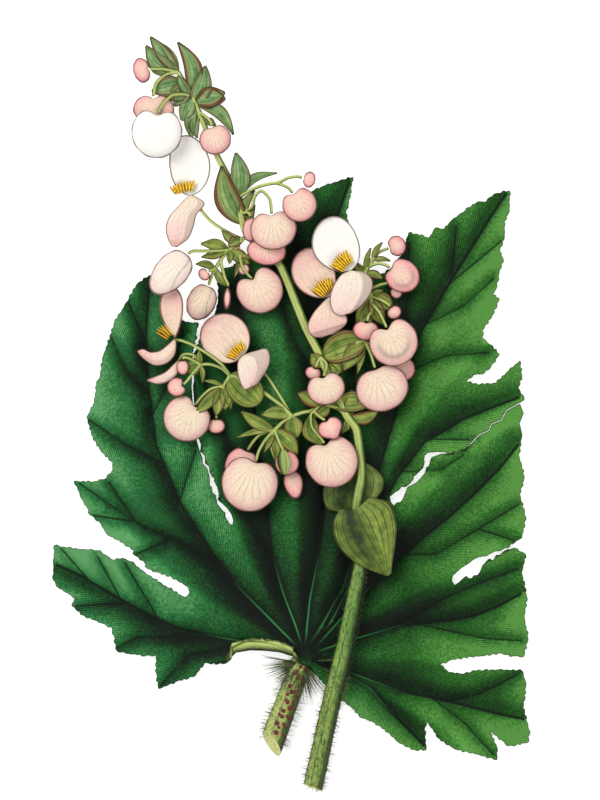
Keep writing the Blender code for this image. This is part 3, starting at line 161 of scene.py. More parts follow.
cool = add(tree, "ShaderNodeValToRGB", {0: tone_and_painted_shading}, stops=[
    (0.0, "#020c05"), (0.25, "#07250d"), (0.5, "#155322"), (0.75, "#2f7d40"), (1.0, "#66ab68")]).outputs[0]
warm = add(tree, "ShaderNodeValToRGB", {0: tone_and_painted_shading}, stops=[
    (0.0, "#030d03"), (0.25, "#0b2b0a"), (0.5, "#184f14"), (0.75, "#327427"), (1.0, "#5c9c43")]).outputs[0]
green = add(tree, "ShaderNodeMix", {0: layer["warmth"], 6: cool, 7: warm}, data_type="RGBA").outputs[2]
wander = {0: cloud, 1: 0.9, 2: layer["veinlet"]}
wave = add(tree, "ShaderNodeMath", wander, operation="MULTIPLY_ADD").outputs[0]
turns = {0: wave, 1: 2 * math.pi / VEINLET_SPACING}
wave = add(tree, "ShaderNodeMath", turns, operation="MULTIPLY").outputs[0]
wave = add(tree, "ShaderNodeMath", {0: wave}, operation="SINE").outputs[0]
# The veinlet lines are drawn darker where the painted shade in the tone layer is deeper.
strength = add(tree, "ShaderNodeMapRange", {0: tone_and_painted_shading, 1: 0.2, 2: 0.95, 3: 1.0, 4: 0.5}).outputs[0]
strength = add(tree, "ShaderNodeMath", {0: strength, 1: layer["hatch"]}, operation="MULTIPLY").outputs[0]
pale = (*linear("#b6c972"), 1.0)
green = add(tree, "ShaderNodeMix", {0: layer["flap"], 6: green, 7: pale}, data_type="RGBA").outputs[2]
clear = add(tree, "ShaderNodeMapRange", {0: layer["flap"], 3: 1.0, 4: 0.1}).outputs[0]
strength = add(tree, "ShaderNodeMath", {0: strength, 1: clear}, operation="MULTIPLY").outputs[0]
fine_lines = add(tree, "ShaderNodeMapRange", {0: wave, 1: -0.35, 2: 0.55, 3: 0.0, 4: 1.0}).outputs[0]
fine_lines = add(tree, "ShaderNodeMath", {0: fine_lines, 1: strength}, operation="MULTIPLY").outputs[0]
main_lines = add(tree, "ShaderNodeMapRange", {0: layer["vein"], 1: 0.35, 2: 1.0, 3: 0.95, 4: 0.0}).outputs[0]
side_width = {0: layer["side_vein"], 1: 0.2, 2: 0.7, 3: 0.88, 4: 0.0}
side_lines = add(tree, "ShaderNodeMapRange", side_width).outputs[0]
edge_line = add(tree, "ShaderNodeMapRange", {0: layer["rim"], 1: 0.1, 2: 0.45, 3: 0.8, 4: 0.0}).outputs[0]
lines = add(tree, "ShaderNodeMath", {0: main_lines, 1: side_lines}, operation="MAXIMUM").outputs[0]
lines = add(tree, "ShaderNodeMath", {0: lines, 1: edge_line}, operation="MAXIMUM").outputs[0]
dark = add(tree, "ShaderNodeMath", {0: lines, 1: fine_lines}, operation="MAXIMUM").outputs[0]
# Near-black for the vein lines, the margin's outline and the veinlets, and painted shade in the vein
# valleys.
lines_and_shade_green, rib_green = (*linear("#030c05"), 1), (*linear("#2f7a3c"), 1)
green = add(tree, "ShaderNodeMix", {0: dark, 6: green, 7: lines_and_shade_green}, data_type="RGBA").outputs[2]
rib = add(tree, "ShaderNodeMapRange", {0: layer["vein"], 1: 0.2, 2: 0.5, 3: 1.0, 4: 0.0}).outputs[0]
rib = add(tree, "ShaderNodeMath", {0: rib, 1: layer["rib"]}, operation="MULTIPLY").outputs[0]
green = add(tree, "ShaderNodeMix", {0: rib, 6: green, 7: rib_green}, data_type="RGBA").outputs[2]
relief = add(tree, "ShaderNodeMath", {0: grain, 1: 0.5, 2: fine_lines}, operation="MULTIPLY_ADD").outputs[0]
bump = add(tree, "ShaderNodeBump", {"Height": relief, "Strength": 0.3, "Distance": 0.00012}).outputs[0]
tree.links.new(green, shader.inputs["Base Color"])
tree.links.new(bump, shader.inputs["Normal"])

# %% [markdown]
# ### Petals
# A begonia petal is silky and a little see-through: ivory where it is thick near its base, pink where it
# thins towards the rim, with fine lines that fan out from the base. Each bloom has its own share of rose,
# and a mauve shade on the parts that turn away from the light.

# %% Petal finish
petal_silk, tree, shader = new_finish("petal silk, ivory to rose", 0.6, Specular_IOR_Level=0.3)
layer = {name: add(tree, "ShaderNodeAttribute", attribute_name=name).outputs["Fac"]
         for name in ("reach", "ray", "rose", "shade", "white", "rim")}
place = add(tree, "ShaderNodeTexCoord").outputs["Object"]
cloud = add(tree, "ShaderNodeTexNoise", {"Vector": place, "Scale": 240.0, "Detail": 4.0}).outputs["Fac"]
grain = add(tree, "ShaderNodeTexNoise", {"Vector": place, "Scale": 1100.0, "Detail": 2.0}).outputs["Fac"]
drift = {0: cloud, 1: 0.5, 2: layer["reach"]}
flush = add(tree, "ShaderNodeMath", drift, operation="MULTIPLY_ADD").outputs[0]
flush = add(tree, "ShaderNodeMath", {0: flush, 1: 0.25}, operation="SUBTRACT").outputs[0]
ivory = add(tree, "ShaderNodeValToRGB", {0: flush}, stops=[
    (0.0, "#eedec0"), (0.4, "#edd7be"), (0.7, "#eac6b7"), (0.92, "#e5b4aa"), (1.0, "#dc9d96")]).outputs[0]
rosy = add(tree, "ShaderNodeValToRGB", {0: flush}, stops=[
    (0.0, "#f2cdba"), (0.35, "#f2bab0"), (0.65, "#f0a4a2"), (0.9, "#ea9093"), (1.0, "#d27479")]).outputs[0]
colour = add(tree, "ShaderNodeMix", {0: layer["rose"], 6: ivory, 7: rosy}, data_type="RGBA").outputs[2]
milk = (*linear("#f6f3ec"), 1)
colour = add(tree, "ShaderNodeMix", {0: layer["white"], 6: colour, 7: milk}, data_type="RGBA").outputs[2]
rays = add(tree, "ShaderNodeMath", {0: cloud, 1: 6.0, 2: layer["ray"]}, operation="MULTIPLY_ADD").outputs[0]
rays = add(tree, "ShaderNodeMath", {0: rays}, operation="SINE").outputs[0]
rays = add(tree, "ShaderNodeMapRange", {0: rays, 1: 0.82, 2: 1.0, 3: 0.0, 4: 0.55}).outputs[0]
inner = add(tree, "ShaderNodeMapRange", {0: layer["reach"], 1: 0.25, 2: 0.75, 3: 1.0, 4: 0.15}).outputs[0]
rays = add(tree, "ShaderNodeMath", {0: rays, 1: inner}, operation="MULTIPLY").outputs[0]
stipple = add(tree, "ShaderNodeMapRange", {0: grain, 1: 0.5, 2: 0.75, 3: 0.0, 4: 0.35}).outputs[0]
rays = add(tree, "ShaderNodeMath", {0: rays, 1: stipple}, operation="MAXIMUM").outputs[0]
pale = add(tree, "ShaderNodeMapRange", {0: layer["white"], 3: 1.0, 4: 0.15}).outputs[0]
rays = add(tree, "ShaderNodeMath", {0: rays, 1: pale}, operation="MULTIPLY").outputs[0]
ray_colour = (*linear("#a58273"), 1)
colour = add(tree, "ShaderNodeMix", {0: rays, 6: colour, 7: ray_colour}, data_type="RGBA").outputs[2]
# Painted shade in mauve where the shade layer says.
shade_mauve = (*linear("#8d776d"), 1)
colour = add(tree, "ShaderNodeMix", {0: layer["shade"], 6: colour, 7: shade_mauve}, data_type="RGBA").outputs[2]
rim = add(tree, "ShaderNodeMapRange", {0: layer["rim"], 1: 0.25, 2: 0.6, 3: 0.85, 4: 0.0}).outputs[0]
rim_colour = (*linear("#5a3d35"), 1)
colour = add(tree, "ShaderNodeMix", {0: rim, 6: colour, 7: rim_colour}, data_type="RGBA").outputs[2]
bump = add(tree, "ShaderNodeBump", {"Height": rays, "Strength": 0.25, "Distance": 0.0002}).outputs[0]
tree.links.new(colour, shader.inputs["Base Color"])
tree.links.new(bump, shader.inputs["Normal"])

# %% [markdown]
# ### Bracts, stems and stalk
# Bracts are small leaves: yellow-green with parallel veins, and rusty along their edges. The stems are
# juicy and ridged, with painted light on their upper side and painted shade at their sides and in the
# furrows between the ridges. The leaf stalk is the same flesh, and its red spots are laid on it later as
# small flat domes.

# %% Bract finish
bract_skin, tree, shader = new_finish("bract skin, green with rusty edges", 0.6, Specular_IOR_Level=0.3)
layer = {name: add(tree, "ShaderNodeAttribute", attribute_name=name).outputs["Fac"]
         for name in ("across", "ribs", "rust", "cool", "shade")}
place = add(tree, "ShaderNodeTexCoord").outputs["Object"]
cloud = add(tree, "ShaderNodeTexNoise", {"Vector": place, "Scale": 300.0, "Detail": 4.0}).outputs["Fac"]
light = add(tree, "ShaderNodeMapRange", {0: cloud, 1: 0.2, 2: 0.8, 3: 0.35, 4: 0.75}).outputs[0]
shaded = {0: layer["shade"], 1: -0.6, 2: light}
light = add(tree, "ShaderNodeMath", shaded, operation="MULTIPLY_ADD").outputs[0]
olive = add(tree, "ShaderNodeValToRGB", {0: light}, stops=[
    (0.0, "#22330b"), (0.3, "#587020"), (0.55, "#8c9c3c"), (0.8, "#b6bd5c")]).outputs[0]
leafy = add(tree, "ShaderNodeValToRGB", {0: light}, stops=[
    (0.0, "#24401a"), (0.3, "#567e44"), (0.55, "#87a86a"), (0.8, "#adc48e")]).outputs[0]
green = add(tree, "ShaderNodeMix", {0: layer["cool"], 6: olive, 7: leafy}, data_type="RGBA").outputs[2]
side = add(tree, "ShaderNodeMath", {0: layer["across"]}, operation="ABSOLUTE").outputs[0]
edge = add(tree, "ShaderNodeMath", {0: cloud, 1: 0.5, 2: side}, operation="MULTIPLY_ADD").outputs[0]
edge = add(tree, "ShaderNodeMapRange", {0: edge, 1: 0.72, 2: 1.08, 3: 0.0, 4: 1.0}).outputs[0]
edge = add(tree, "ShaderNodeMath", {0: edge, 1: layer["rust"]}, operation="MULTIPLY").outputs[0]
rusty, line_green = (*linear("#7c4527"), 1), (*linear("#222a0c"), 1)
green = add(tree, "ShaderNodeMix", {0: edge, 6: green, 7: rusty}, data_type="RGBA").outputs[2]
veins = add(tree, "ShaderNodeMath", {0: layer["ribs"]}, operation="COSINE").outputs[0]
veins = add(tree, "ShaderNodeMapRange", {0: veins, 1: 0.75, 2: 1.0, 3: 0.0, 4: 0.75}).outputs[0]
rim = add(tree, "ShaderNodeMapRange", {0: side, 1: 0.9, 2: 0.95, 3: 0.0, 4: 0.85}).outputs[0]
veins = add(tree, "ShaderNodeMath", {0: veins, 1: rim}, operation="MAXIMUM").outputs[0]
green = add(tree, "ShaderNodeMix", {0: veins, 6: green, 7: line_green}, data_type="RGBA").outputs[2]
sunken = {"Height": veins, "Strength": 0.3, "Distance": 0.0002}
bump = add(tree, "ShaderNodeBump", sunken, invert=True).outputs[0]
tree.links.new(green, shader.inputs["Base Color"])
tree.links.new(bump, shader.inputs["Normal"])

# %% Stem and small finishes
stem_skin, tree, shader = new_finish("stem skin, juicy and ridged", 0.55, Specular_IOR_Level=0.3)
layer = {name: add(tree, "ShaderNodeAttribute", attribute_name=name).outputs["Fac"]
         for name in ("around", "crown", "lush")}
place = add(tree, "ShaderNodeTexCoord").outputs["Object"]
cloud = add(tree, "ShaderNodeTexNoise", {"Vector": place, "Scale": 260.0, "Detail": 4.0}).outputs["Fac"]
# Painted light and shade from the mesh's layer, mottled by noise.
drift = {0: cloud, 1: 0.4, 2: layer["crown"]}
light = add(tree, "ShaderNodeMath", drift, operation="MULTIPLY_ADD").outputs[0]
light = add(tree, "ShaderNodeMath", {0: light, 1: 0.25}, operation="SUBTRACT").outputs[0]
fresh = add(tree, "ShaderNodeValToRGB", {0: light}, stops=[
    (0.1, "#2f4a1c"), (0.35, "#66843a"), (0.65, "#a3b558"), (1.0, "#c9cf80")]).outputs[0]
lush = add(tree, "ShaderNodeValToRGB", {0: light}, stops=[
    (0.1, "#0c1e09"), (0.4, "#244515"), (0.7, "#456e27"), (1.0, "#7ba147")]).outputs[0]
green = add(tree, "ShaderNodeMix", {0: layer["lush"], 6: fresh, 7: lush}, data_type="RGBA").outputs[2]
drift = {0: cloud, 1: 2.0, 2: layer["around"]}
ridge = add(tree, "ShaderNodeMath", drift, operation="MULTIPLY_ADD").outputs[0]
ridge = add(tree, "ShaderNodeMath", {0: ridge}, operation="SINE").outputs[0]
ridge = add(tree, "ShaderNodeMapRange", {0: ridge, 1: 0.7, 2: 1.0, 3: 0.0, 4: 0.6}).outputs[0]
# Painted shade in the furrows between the ridges.
furrow_shade_green = (*linear("#22380f"), 1)
green = add(tree, "ShaderNodeMix", {0: ridge, 6: green, 7: furrow_shade_green}, data_type="RGBA").outputs[2]
sunken = {"Height": ridge, "Strength": 0.3, "Distance": 0.0003}
bump = add(tree, "ShaderNodeBump", sunken, invert=True).outputs[0]
tree.links.new(green, shader.inputs["Base Color"])
tree.links.new(bump, shader.inputs["Normal"])


def speckled(name, roughness, scale, stops):
    """A small piece's finish: one colour that drifts to its neighbours."""
    material, tree, shader = new_finish(name, roughness)
    place = add(tree, "ShaderNodeTexCoord").outputs["Object"]
    cloud = add(tree, "ShaderNodeTexNoise", {"Vector": place, "Scale": scale, "Detail": 3.0}).outputs["Fac"]
    colour = add(tree, "ShaderNodeValToRGB", {0: cloud}, stops=stops).outputs[0]
    bump = add(tree, "ShaderNodeBump", {"Height": cloud, "Strength": 0.3, "Distance": 0.0002}).outputs[0]
    tree.links.new(colour, shader.inputs["Base Color"])
    tree.links.new(bump, shader.inputs["Normal"])
    return material


pollen = [(0.3, "#dd9a08"), (0.5, "#f0c40c"), (0.7, "#f7dc40")]
anther_dust = speckled("anther, pollen yellow", 0.7, 900.0, pollen)
anther_shade = speckled("anther shade strip, red brown", 0.7, 900.0, [(0.3, "#3f150a"), (0.7, "#8a3a14")])
hair_down = speckled("stem hair, olive", 0.6, 500.0, [(0.3, "#47441f"), (0.7, "#837c4c")])
hair_lying = speckled("lying hair, dark green", 0.6, 500.0, [(0.3, "#16220b"), (0.7, "#31451a")])
collar_down = speckled("collar hair, grey green", 0.6, 400.0, [(0.3, "#25321a"), (0.7, "#7f8c5a")])
spot_red = speckled("stalk spot, dark red", 0.6, 600.0, [(0.3, "#4c0a12"), (0.7, "#8c1822")])
cut_flesh = speckled("cut flesh, pale green", 0.6, 500.0, [(0.3, "#b4b864"), (0.7, "#d8d98c")])
card_tones = [(0.3, "#bdbcb9"), (0.7, "#bfbebb")]
floor_card = speckled("floor card, white and softly lit from below", 0.9, 30.0, card_tones)
glow = floor_card.node_tree.nodes["Principled BSDF"].inputs
glow["Emission Color"].default_value = (1.0, 1.0, 1.0, 1.0)
glow["Emission Strength"].default_value = 0.8

# %% [markdown]
# ## The leaf blade
# A star begonia's leaf has pointed lobes round its heart, and each long vein runs from the heart to a
# lobe's tip. The margin is written down lobe by lobe, clockwise, and small teeth are added by a rule.
# On the left of the heart the margin curls up and over, so its pale underside shows.

# %% The leaf's lines
CURL = [
    (0, -104.3), (-3, -102.6), (-8, -101), (-14, -100.4), (-20, -100.3), (-26, -101.5), (-31, -105.0),
]
LEFT_LOW_LOBE = [
    (-38.5, -106), (-42, -111), (-50, -113.5), (-57, -116.5), (-58, -110), (-58, -103), (-62, -103),
    (-69, -102.3), (-74, -101), (-75, -95), (-76, -91.5), (-80, -90), (-87, -87), (-92, -83),
    (-91, -80), (-93.5, -78), (-97, -76), (-99.5, -72.5), (-99.5, -66), (-99, -58.5), (-94, -59.5),
    (-88, -60), (-81.5, -60.5), (-78, -62.5), (-75, -64.5), (-71.5, -63.5), (-68, -65), (-61, -70.5),
    (-53, -75.5), (-47.7, -78.6), (-46.4, -79.3), (-45.3, -78.6), (-44.5, -77.4), (-44.9, -76),
]
LEFT_LOBE = [
    (-45.3, -75.2), (-52, -71), (-58, -69.3), (-61.5, -68), (-63, -65), (-67.5, -62), (-67, -60.5),
    (-73, -56.5), (-77.5, -54.5), (-79, -52), (-81, -49), (-84.5, -46.5), (-86, -43), (-88, -40),
    (-91, -32.5), (-84, -33), (-78, -31.5), (-75.5, -28), (-75.5, -25), (-80, -21), (-83.5, -15),
    (-86, -7), (-83, -1), (-82, 6), (-80.5, 10), (-79.3, 18), (-76, 27), (-75, 31), (-69, 41),
    (-66, 46.5), (-60.5, 50.5), (-57.5, 45), (-54.5, 39), (-50, 33.5), (-46, 31.5), (-41, 31),
]
LEFT_SLIT = [
    (-43.2, 18), (-43.6, 5), (-42.6, -8), (-41.6, -16), (-40.4, -20.5), (-39.2, -23.6), (-39.2, -25.4),
    (-37.2, -27.6), (-36.9, -29), (-36.4, -30.6), (-36.2, -34.5), (-35.4, -35), (-35.2, -37.2),
    (-33.9, -38.2), (-33.6, -39.6), (-33.2, -41.8), (-31, -44.6), (-30.1, -45.2), (-29.9, -47.2),
    (-28.2, -49.9), (-27.2, -50.2), (-26.9, -48.6), (-27.6, -46.2), (-29, -44), (-31.2, -41.8),
    (-32.8, -40), (-32.8, -37.6), (-33.4, -35), (-34.5, -32.9), (-34.6, -31.4), (-35.8, -30.6),
    (-36.4, -29.2), (-36.6, -26.9), (-38, -25.4), (-38.4, -22.4), (-40, -20.8), (-39.9, -18),
    (-40.8, -15.6), (-41.8, -8), (-42.8, 5), (-42.4, 18),
]
TOP_LOBE = [
    (-38.6, 31), (-34.5, 34), (-33, 40), (-33, 48), (-31, 53), (-27, 54), (-22, 57), (-15, 62), (-8, 69),
    (-3, 75), (5.5, 84.5), (10, 86.5), (16, 88.5), (21.5, 90), (20.3, 83), (19.5, 78.5), (18.5, 75.5),
    (19, 73), (20, 66), (22, 58), (26, 51),
]
RIGHT_TOP_LOBE = [
    (32, 50), (38, 54), (41, 59), (43.7, 67.5), (48, 66.5), (52, 65.5), (54.5, 69.5), (58, 69),
    (61, 72.5), (66.5, 76.5), (71.5, 80), (75, 80), (78, 83), (84.5, 84.5), (84.5, 76), (82.5, 72),
    (82.5, 66.5), (80.5, 60), (82, 57), (80, 50), (79, 44.5), (77.5, 42.5), (80.5, 41), (77.5, 34),
    (73.5, 28), (73.5, 25), (76.5, 22.5), (80.5, 18.5), (77, 13.5), (74, 10.5), (70, 10), (67, 7.4),
]
RIGHT_LOBE = [
    (72, 6.2), (79, 7), (84, 12), (88.5, 16), (89.5, 10), (88, 5), (90.5, 0), (83, -4), (81, -8),
    (77, -9.5), (76, -12), (72, -14), (66, -20), (61, -21.4), (55.5, -20.8),
    (51.5, -21.2), (50.2, -22.4), (50, -24), (50.1, -25.5), (49.2, -27.5), (47.2, -29.4), (45.7, -30.8),
    (45.7, -32.1), (44.2, -33.5), (42.4, -34.8), (40.8, -35), (39.8, -36.3), (38, -37.4), (36.2, -39),
    (36.6, -41), (37.8, -42.5),
]
RIGHT_MIDDLE_LOBE = [
    (38.7, -41.3), (40.4, -41), (41.5, -39.5), (42.3, -37.4), (43.3, -35.1), (44.6, -34.4), (46.6, -33.4),
    (48.5, -31.5), (50.3, -29.3), (50.8, -27.2), (51.9, -26.5), (52.3, -24.6), (53.2, -22.9), (57, -21.6),
    (61, -21.75), (66.2, -20.3), (69.2, -17.3), (72.15, -14.3), (76.2, -12.3), (77.2, -9.8),
    (81.2, -8.3), (83.2, -4.3), (88.6, -1.5), (90.1, -5.5), (88.4, -9), (89.6, -14), (88.2, -22),
    (90.5, -31), (88.5, -38), (91, -47), (89.5, -55.5),
    (82.8, -59.6), (80.5, -60.8), (78.5, -61), (76.5, -62), (75, -62.9), (72, -63.2), (70, -64.2),
    (67.5, -66.1), (65, -67.6), (63.5, -69), (61.6, -70.7), (61.2, -72.6), (62.3, -74.5),
]
RIGHT_WIDE_LOBE = [
    (64, -73.4), (66, -71.5), (67, -70.8), (67.9, -71.7), (69, -71.8), (70, -70.6), (71.5, -70.5),
    (72.5, -69), (73.5, -66.5), (75, -65.1), (76.2, -64), (77.8, -64.7), (79, -62.6), (80.6, -62.4),
    (82.4, -60.8), (86, -59.5), (91, -62),
    (89.5, -70), (91.5, -79), (90.5, -88), (92, -96), (90, -103.5), (86, -103.2), (80, -102),
    (73, -103.2), (66, -103.6), (60, -105), (56.5, -106.5),
]
RIGHT_LOW_LOBE = [
    (60, -109.6), (66, -110.2), (71, -109), (80, -108.5), (89.5, -109), (91.2, -114), (90, -124),
    (92.5, -133), (92, -138), (84, -139.5), (81, -137), (76.5, -133.5), (79.5, -140), (79.5, -145),
    (72, -143), (62, -140.5), (56, -136.5), (51, -129.5), (50.3, -133), (51, -141), (46, -141),
    (39.5, -138), (34, -132.5), (29, -129.5), (25, -128), (20, -123), (14.5, -119), (10, -114.5),
    (6.5, -110), (3.2, -106.4),
]
MARGIN = (
    LEFT_LOW_LOBE + LEFT_LOBE + LEFT_SLIT + TOP_LOBE + RIGHT_TOP_LOBE + RIGHT_LOBE
    + RIGHT_MIDDLE_LOBE + RIGHT_WIDE_LOBE + RIGHT_LOW_LOBE
)
MAIN_VEINS = [
    [(-3, -101.5), (-20, -97.5), (-35, -95), (-50, -91.5), (-60, -87), (-73, -80), (-88, -71),
     (-98, -66.5)],
    [(0, -100), (-15, -85), (-25, -75), (-35, -62), (-48.5, -41), (-58, -18), (-61, 5), (-62, 27),
     (-60.6, 47)],
    [(1, -99), (-2, -90), (-7, -77), (-11, -62), (-14, -40), (-17, -15), (-20, 10), (-23, 32), (-25, 50)],
    [(2, -99), (4, -80), (7, -65), (10, -45), (10, -20), (8, 8), (7, 35), (10, 60), (20, 88)],
    [(3, -99), (9, -90), (17, -76), (25, -52), (33, -24), (41, 3), (49, 28), (62, 50), (77, 74), (83, 83)],
    [(4, -100), (13, -88), (24, -66), (31, -45), (40, -30), (50, -17), (66, -7.5), (88, 1)],
    [(5, -100.5), (20, -84), (37, -66), (50, -55), (60, -47), (70, -38), (80, -28), (88, -18)],
    [(5, -101.5), (22, -96), (40, -91), (60, -88.7), (70, -87), (80, -83), (89, -78)],
    [(5, -103.5), (20, -109.5), (40, -117), (60, -121.5), (80, -126.5), (90, -128.5)],
    [(5, -104.5), (20, -111), (28, -116), (35, -124), (42, -131), (50, -139)],
]
SIDE_VEINS = [
    [(-30, -95.8), (-45, -95), (-65, -95.5), (-73.5, -99.5)],
    [(-22, -98), (-45, -103), (-56, -115)],
    [(-70, -81.6), (-90, -83)],
    [(-57, -88.2), (-70.5, -65.5)],
    [(-72, -80.6), (-81.5, -63)],
    [(-85, -72.7), (-96, -60)],
    [(-33, -64.8), (-47, -58), (-65, -50), (-89, -33.5)],
    [(-52, -56), (-66, -62)],
    [(-66, -49.6), (-77, -33)],
    [(-68, -48.7), (-83, -46.5)],
    [(-55, -25.6), (-70, -18), (-85, -8)],
    [(-60.7, 3), (-70, 12), (-76, 25)],
    [(-61.8, 23), (-69, 39)],
    [(-48.5, -41), (-41.8, -20)],
    [(-59.5, -6), (-51, 10), (-47, 28)],
    [(-14, -40), (-24, -26), (-36, -4), (-40, 18)],
    [(-11, -62), (-19, -50), (-28, -36)],
    [(-20, 8), (-29, 24), (-32, 44)],
    [(8, 5), (-2, 24), (-10, 46), (-12, 62)],
    [(7, 33), (0, 52), (-2, 72)],
    [(10, -43), (18, -22), (22, 4), (21, 28), (22, 50)],
    [(36, -14), (41, 14), (43, 40), (44, 63)],
    [(50, 30), (66, 38), (78, 49)],
    [(61, 48.5), (63, 70)],
    [(60, 46.5), (81, 64)],
    [(44, 12), (60, 18), (76, 19)],
    [(41, -29), (57, -28), (66, -22)],
    [(52, -15.8), (70, -16)],
    [(41, -62.4), (55, -62), (70, -53), (88, -42)],
    [(72, -52), (86, -56.5)],
    [(46, -90), (60, -93), (75, -96), (89, -97)],
    [(40, -91), (58, -80), (74, -73), (88, -68)],
    [(60, -121.5), (72, -118.5), (88, -110.5)],
    [(53, -120), (66, -130), (78, -143)],
]
# Slits between lobes: from the closed end outwards, and which side lies higher
SLITS = [
    ([(-26, -53), (-33.5, -37.5), (-41, -17), (-43, 10), (-41, 31)], 1.0),
    ([(37, -41), (45, -31.5), (52, -24), (70, -18.5), (88, -8)], 1.0),
    ([(61.5, -73), (73, -66), (88, -58)], 0.8),
    ([(56.5, -106.5), (72, -106.3), (90, -106)], 0.8),
    ([(-47.5, -78.8), (-62, -68), (-76, -60)], 0.7),
]

# %% Lines and distances
HEART = (1.5, -104.0)
BLADE_THICKNESS = 0.6
BLADE_MESH = 2.1
MERGE_REACH = 0.2
BESIDE = 0.7
PLAIN_SLITS = [((35, -43.5), (56.5, -20)), ((56, -22), (91, 0.5)), ((61, -75), (85, -59))]
TOOTH_SPACING = 2.5
TOOTH_HEIGHT = 0.55


def distance_to(places, line):
    """Distance from each place to a broken line, with how far along it and which side of it."""
    best = np.full(len(places), np.inf)
    share = np.zeros(len(places))
    side = np.zeros(len(places))
    line = np.asarray(line, float)
    for k, (a, b) in enumerate(zip(line, line[1:])):
        run = b - a
        t = np.clip((places - a) @ run / (run @ run), 0, 1)
        off = places - a - t[:, None] * run
        gap = np.linalg.norm(off, axis=1)
        nearer = gap < best
        best = np.where(nearer, gap, best)
        share = np.where(nearer, (k + t) / (len(line) - 1), share)
        side = np.where(nearer, np.sign(run[0] * off[:, 1] - run[1] * off[:, 0]), side)
    return best, share, side


def smooth_path(marks, spacing):
    """Points along a smooth curve through the marks, about one spacing apart."""
    marks = np.asarray(marks, float)
    ends = np.vstack([2 * marks[0] - marks[1], marks, 2 * marks[-1] - marks[-2]])
    path = []
    for k in range(len(marks) - 1):
        a, b, c, d = ends[k : k + 4]
        count = max(1, round(float(np.linalg.norm((c - b)[:2])) / spacing))
        for t in np.arange(count) / count:
            slope, bend, twist = c - a, 2 * a - 5 * b + 4 * c - d, 3 * b - a - 3 * c + d
            path.append(0.5 * (2 * b + slope * t + bend * t**2 + twist * t**3))
    path.append(marks[-1])
    return np.array(path)


def inside(places, outline):
    """Whether each place lies within a closed outline."""
    a = np.array(outline, float)
    b = np.roll(a, -1, axis=0)
    x, y = places[:, :1], places[:, 1:2]
    crosses = (a[:, 1] > y) != (b[:, 1] > y)
    rise = np.where(b[:, 1] == a[:, 1], 1, b[:, 1] - a[:, 1])
    where = a[:, 0] + (y - a[:, 1]) * (b[:, 0] - a[:, 0]) / rise
    return (crosses & (x < where)).sum(axis=1) % 2 == 1


def toothed(margin, plain, spacing, height):
    """The margin with small sharp teeth between its marks; clockwise, so outwards is to the left."""
    found = []
    for a, b in zip(margin, margin[1:] + margin[:1]):
        keen = 0.0 if a in plain and b in plain else height
        a, b = np.array(a, float), np.array(b, float)
        run = b - a
        count = max(1, round(float(np.linalg.norm(run)) / (0.5 * spacing)))
        outward = np.array([-run[1], run[0]]) / max(np.linalg.norm(run), 1e-6)
        for step in range(count):
            sway = 0.55 + 0.45 * math.sin(2.3 * len(found) + 0.7 * a[0])
            push = keen * sway if step % 2 else -0.25 * keen
            slip = (0.25 * math.sin(1.7 * len(found)) if step else 0.0) / count
            found.append(tuple(a + run * (step / count + slip) + (push if step else 0.0) * outward))
    return found


# %% [markdown]
# The blade is a low dome that the stalk lifts at the heart. Between the veins it rises in pleats, which the
# lamps light and shade, and painted light and shade in the leaf's finish deepen its light and dark panels.
# Next to a slit one lobe lies a little over the other.

# %% The blade's height
HEART_RISE = 7.6
HEART_SPREAD = 30.0
CROWN_RISE = 2.1
CROWN_CENTRE = (0.0, -28.0)
CROWN_REACH = (98.0, 118.0)
MAIN_PLEAT = (1.6, 6.0)
SIDE_PLEAT = (1.0, 3.5)
SLIT_REACH = 9.0


def blade_height(places):
    """Height of the blade's middle: a low dome that the stalk lifts at the heart, pleated by the veins."""
    places = np.asarray(places, float)
    from_heart = np.linalg.norm(places - HEART, axis=1)
    reach = np.linalg.norm((places - CROWN_CENTRE) / CROWN_REACH, axis=1)
    height = 0.5 * BLADE_THICKNESS + CROWN_RISE * np.clip(1 - reach**2, 0, 1)
    height += HEART_RISE * np.exp(-((from_heart / HEART_SPREAD) ** 2))
    for veins, (rise, width) in ((MAIN_VEINS, MAIN_PLEAT), (SIDE_VEINS, SIDE_PLEAT)):
        nearest = np.min([distance_to(places, vein)[0] for vein in veins], axis=0)
        height += rise * (1 - np.exp(-nearest / width)) * np.clip(from_heart / 30, 0, 1)
    for line, lift in SLITS:
        gap, share, side = distance_to(places, line)
        near = np.clip(1 - gap / SLIT_REACH, 0, 1) * np.clip(4 * share, 0, 1)
        height += lift * near * side * np.where(side > 0, 1, 0.4)
    return np.maximum(height, 0.5 * BLADE_THICKNESS)


# %% The curled margin
ROLL_RADIUS = 1.25
ROLL_FLAP = 6.8


def curl_rows():
    """Rows of places beyond the curl's crease, each with its crease point and distance from it."""
    crease = smooth_path(CURL, 6.0)
    ahead = np.gradient(crease, axis=0)
    outward = np.column_stack([ahead[:, 1], -ahead[:, 0]])
    outward /= -np.linalg.norm(outward, axis=1, keepdims=True)
    share = np.linspace(0, 1, len(crease))
    flap = ROLL_FLAP * np.clip(np.sin(math.pi * share) ** 0.45, 0.02, 1)
    return crease - ROLL_RADIUS * outward * (flap > 1)[:, None], outward, flap


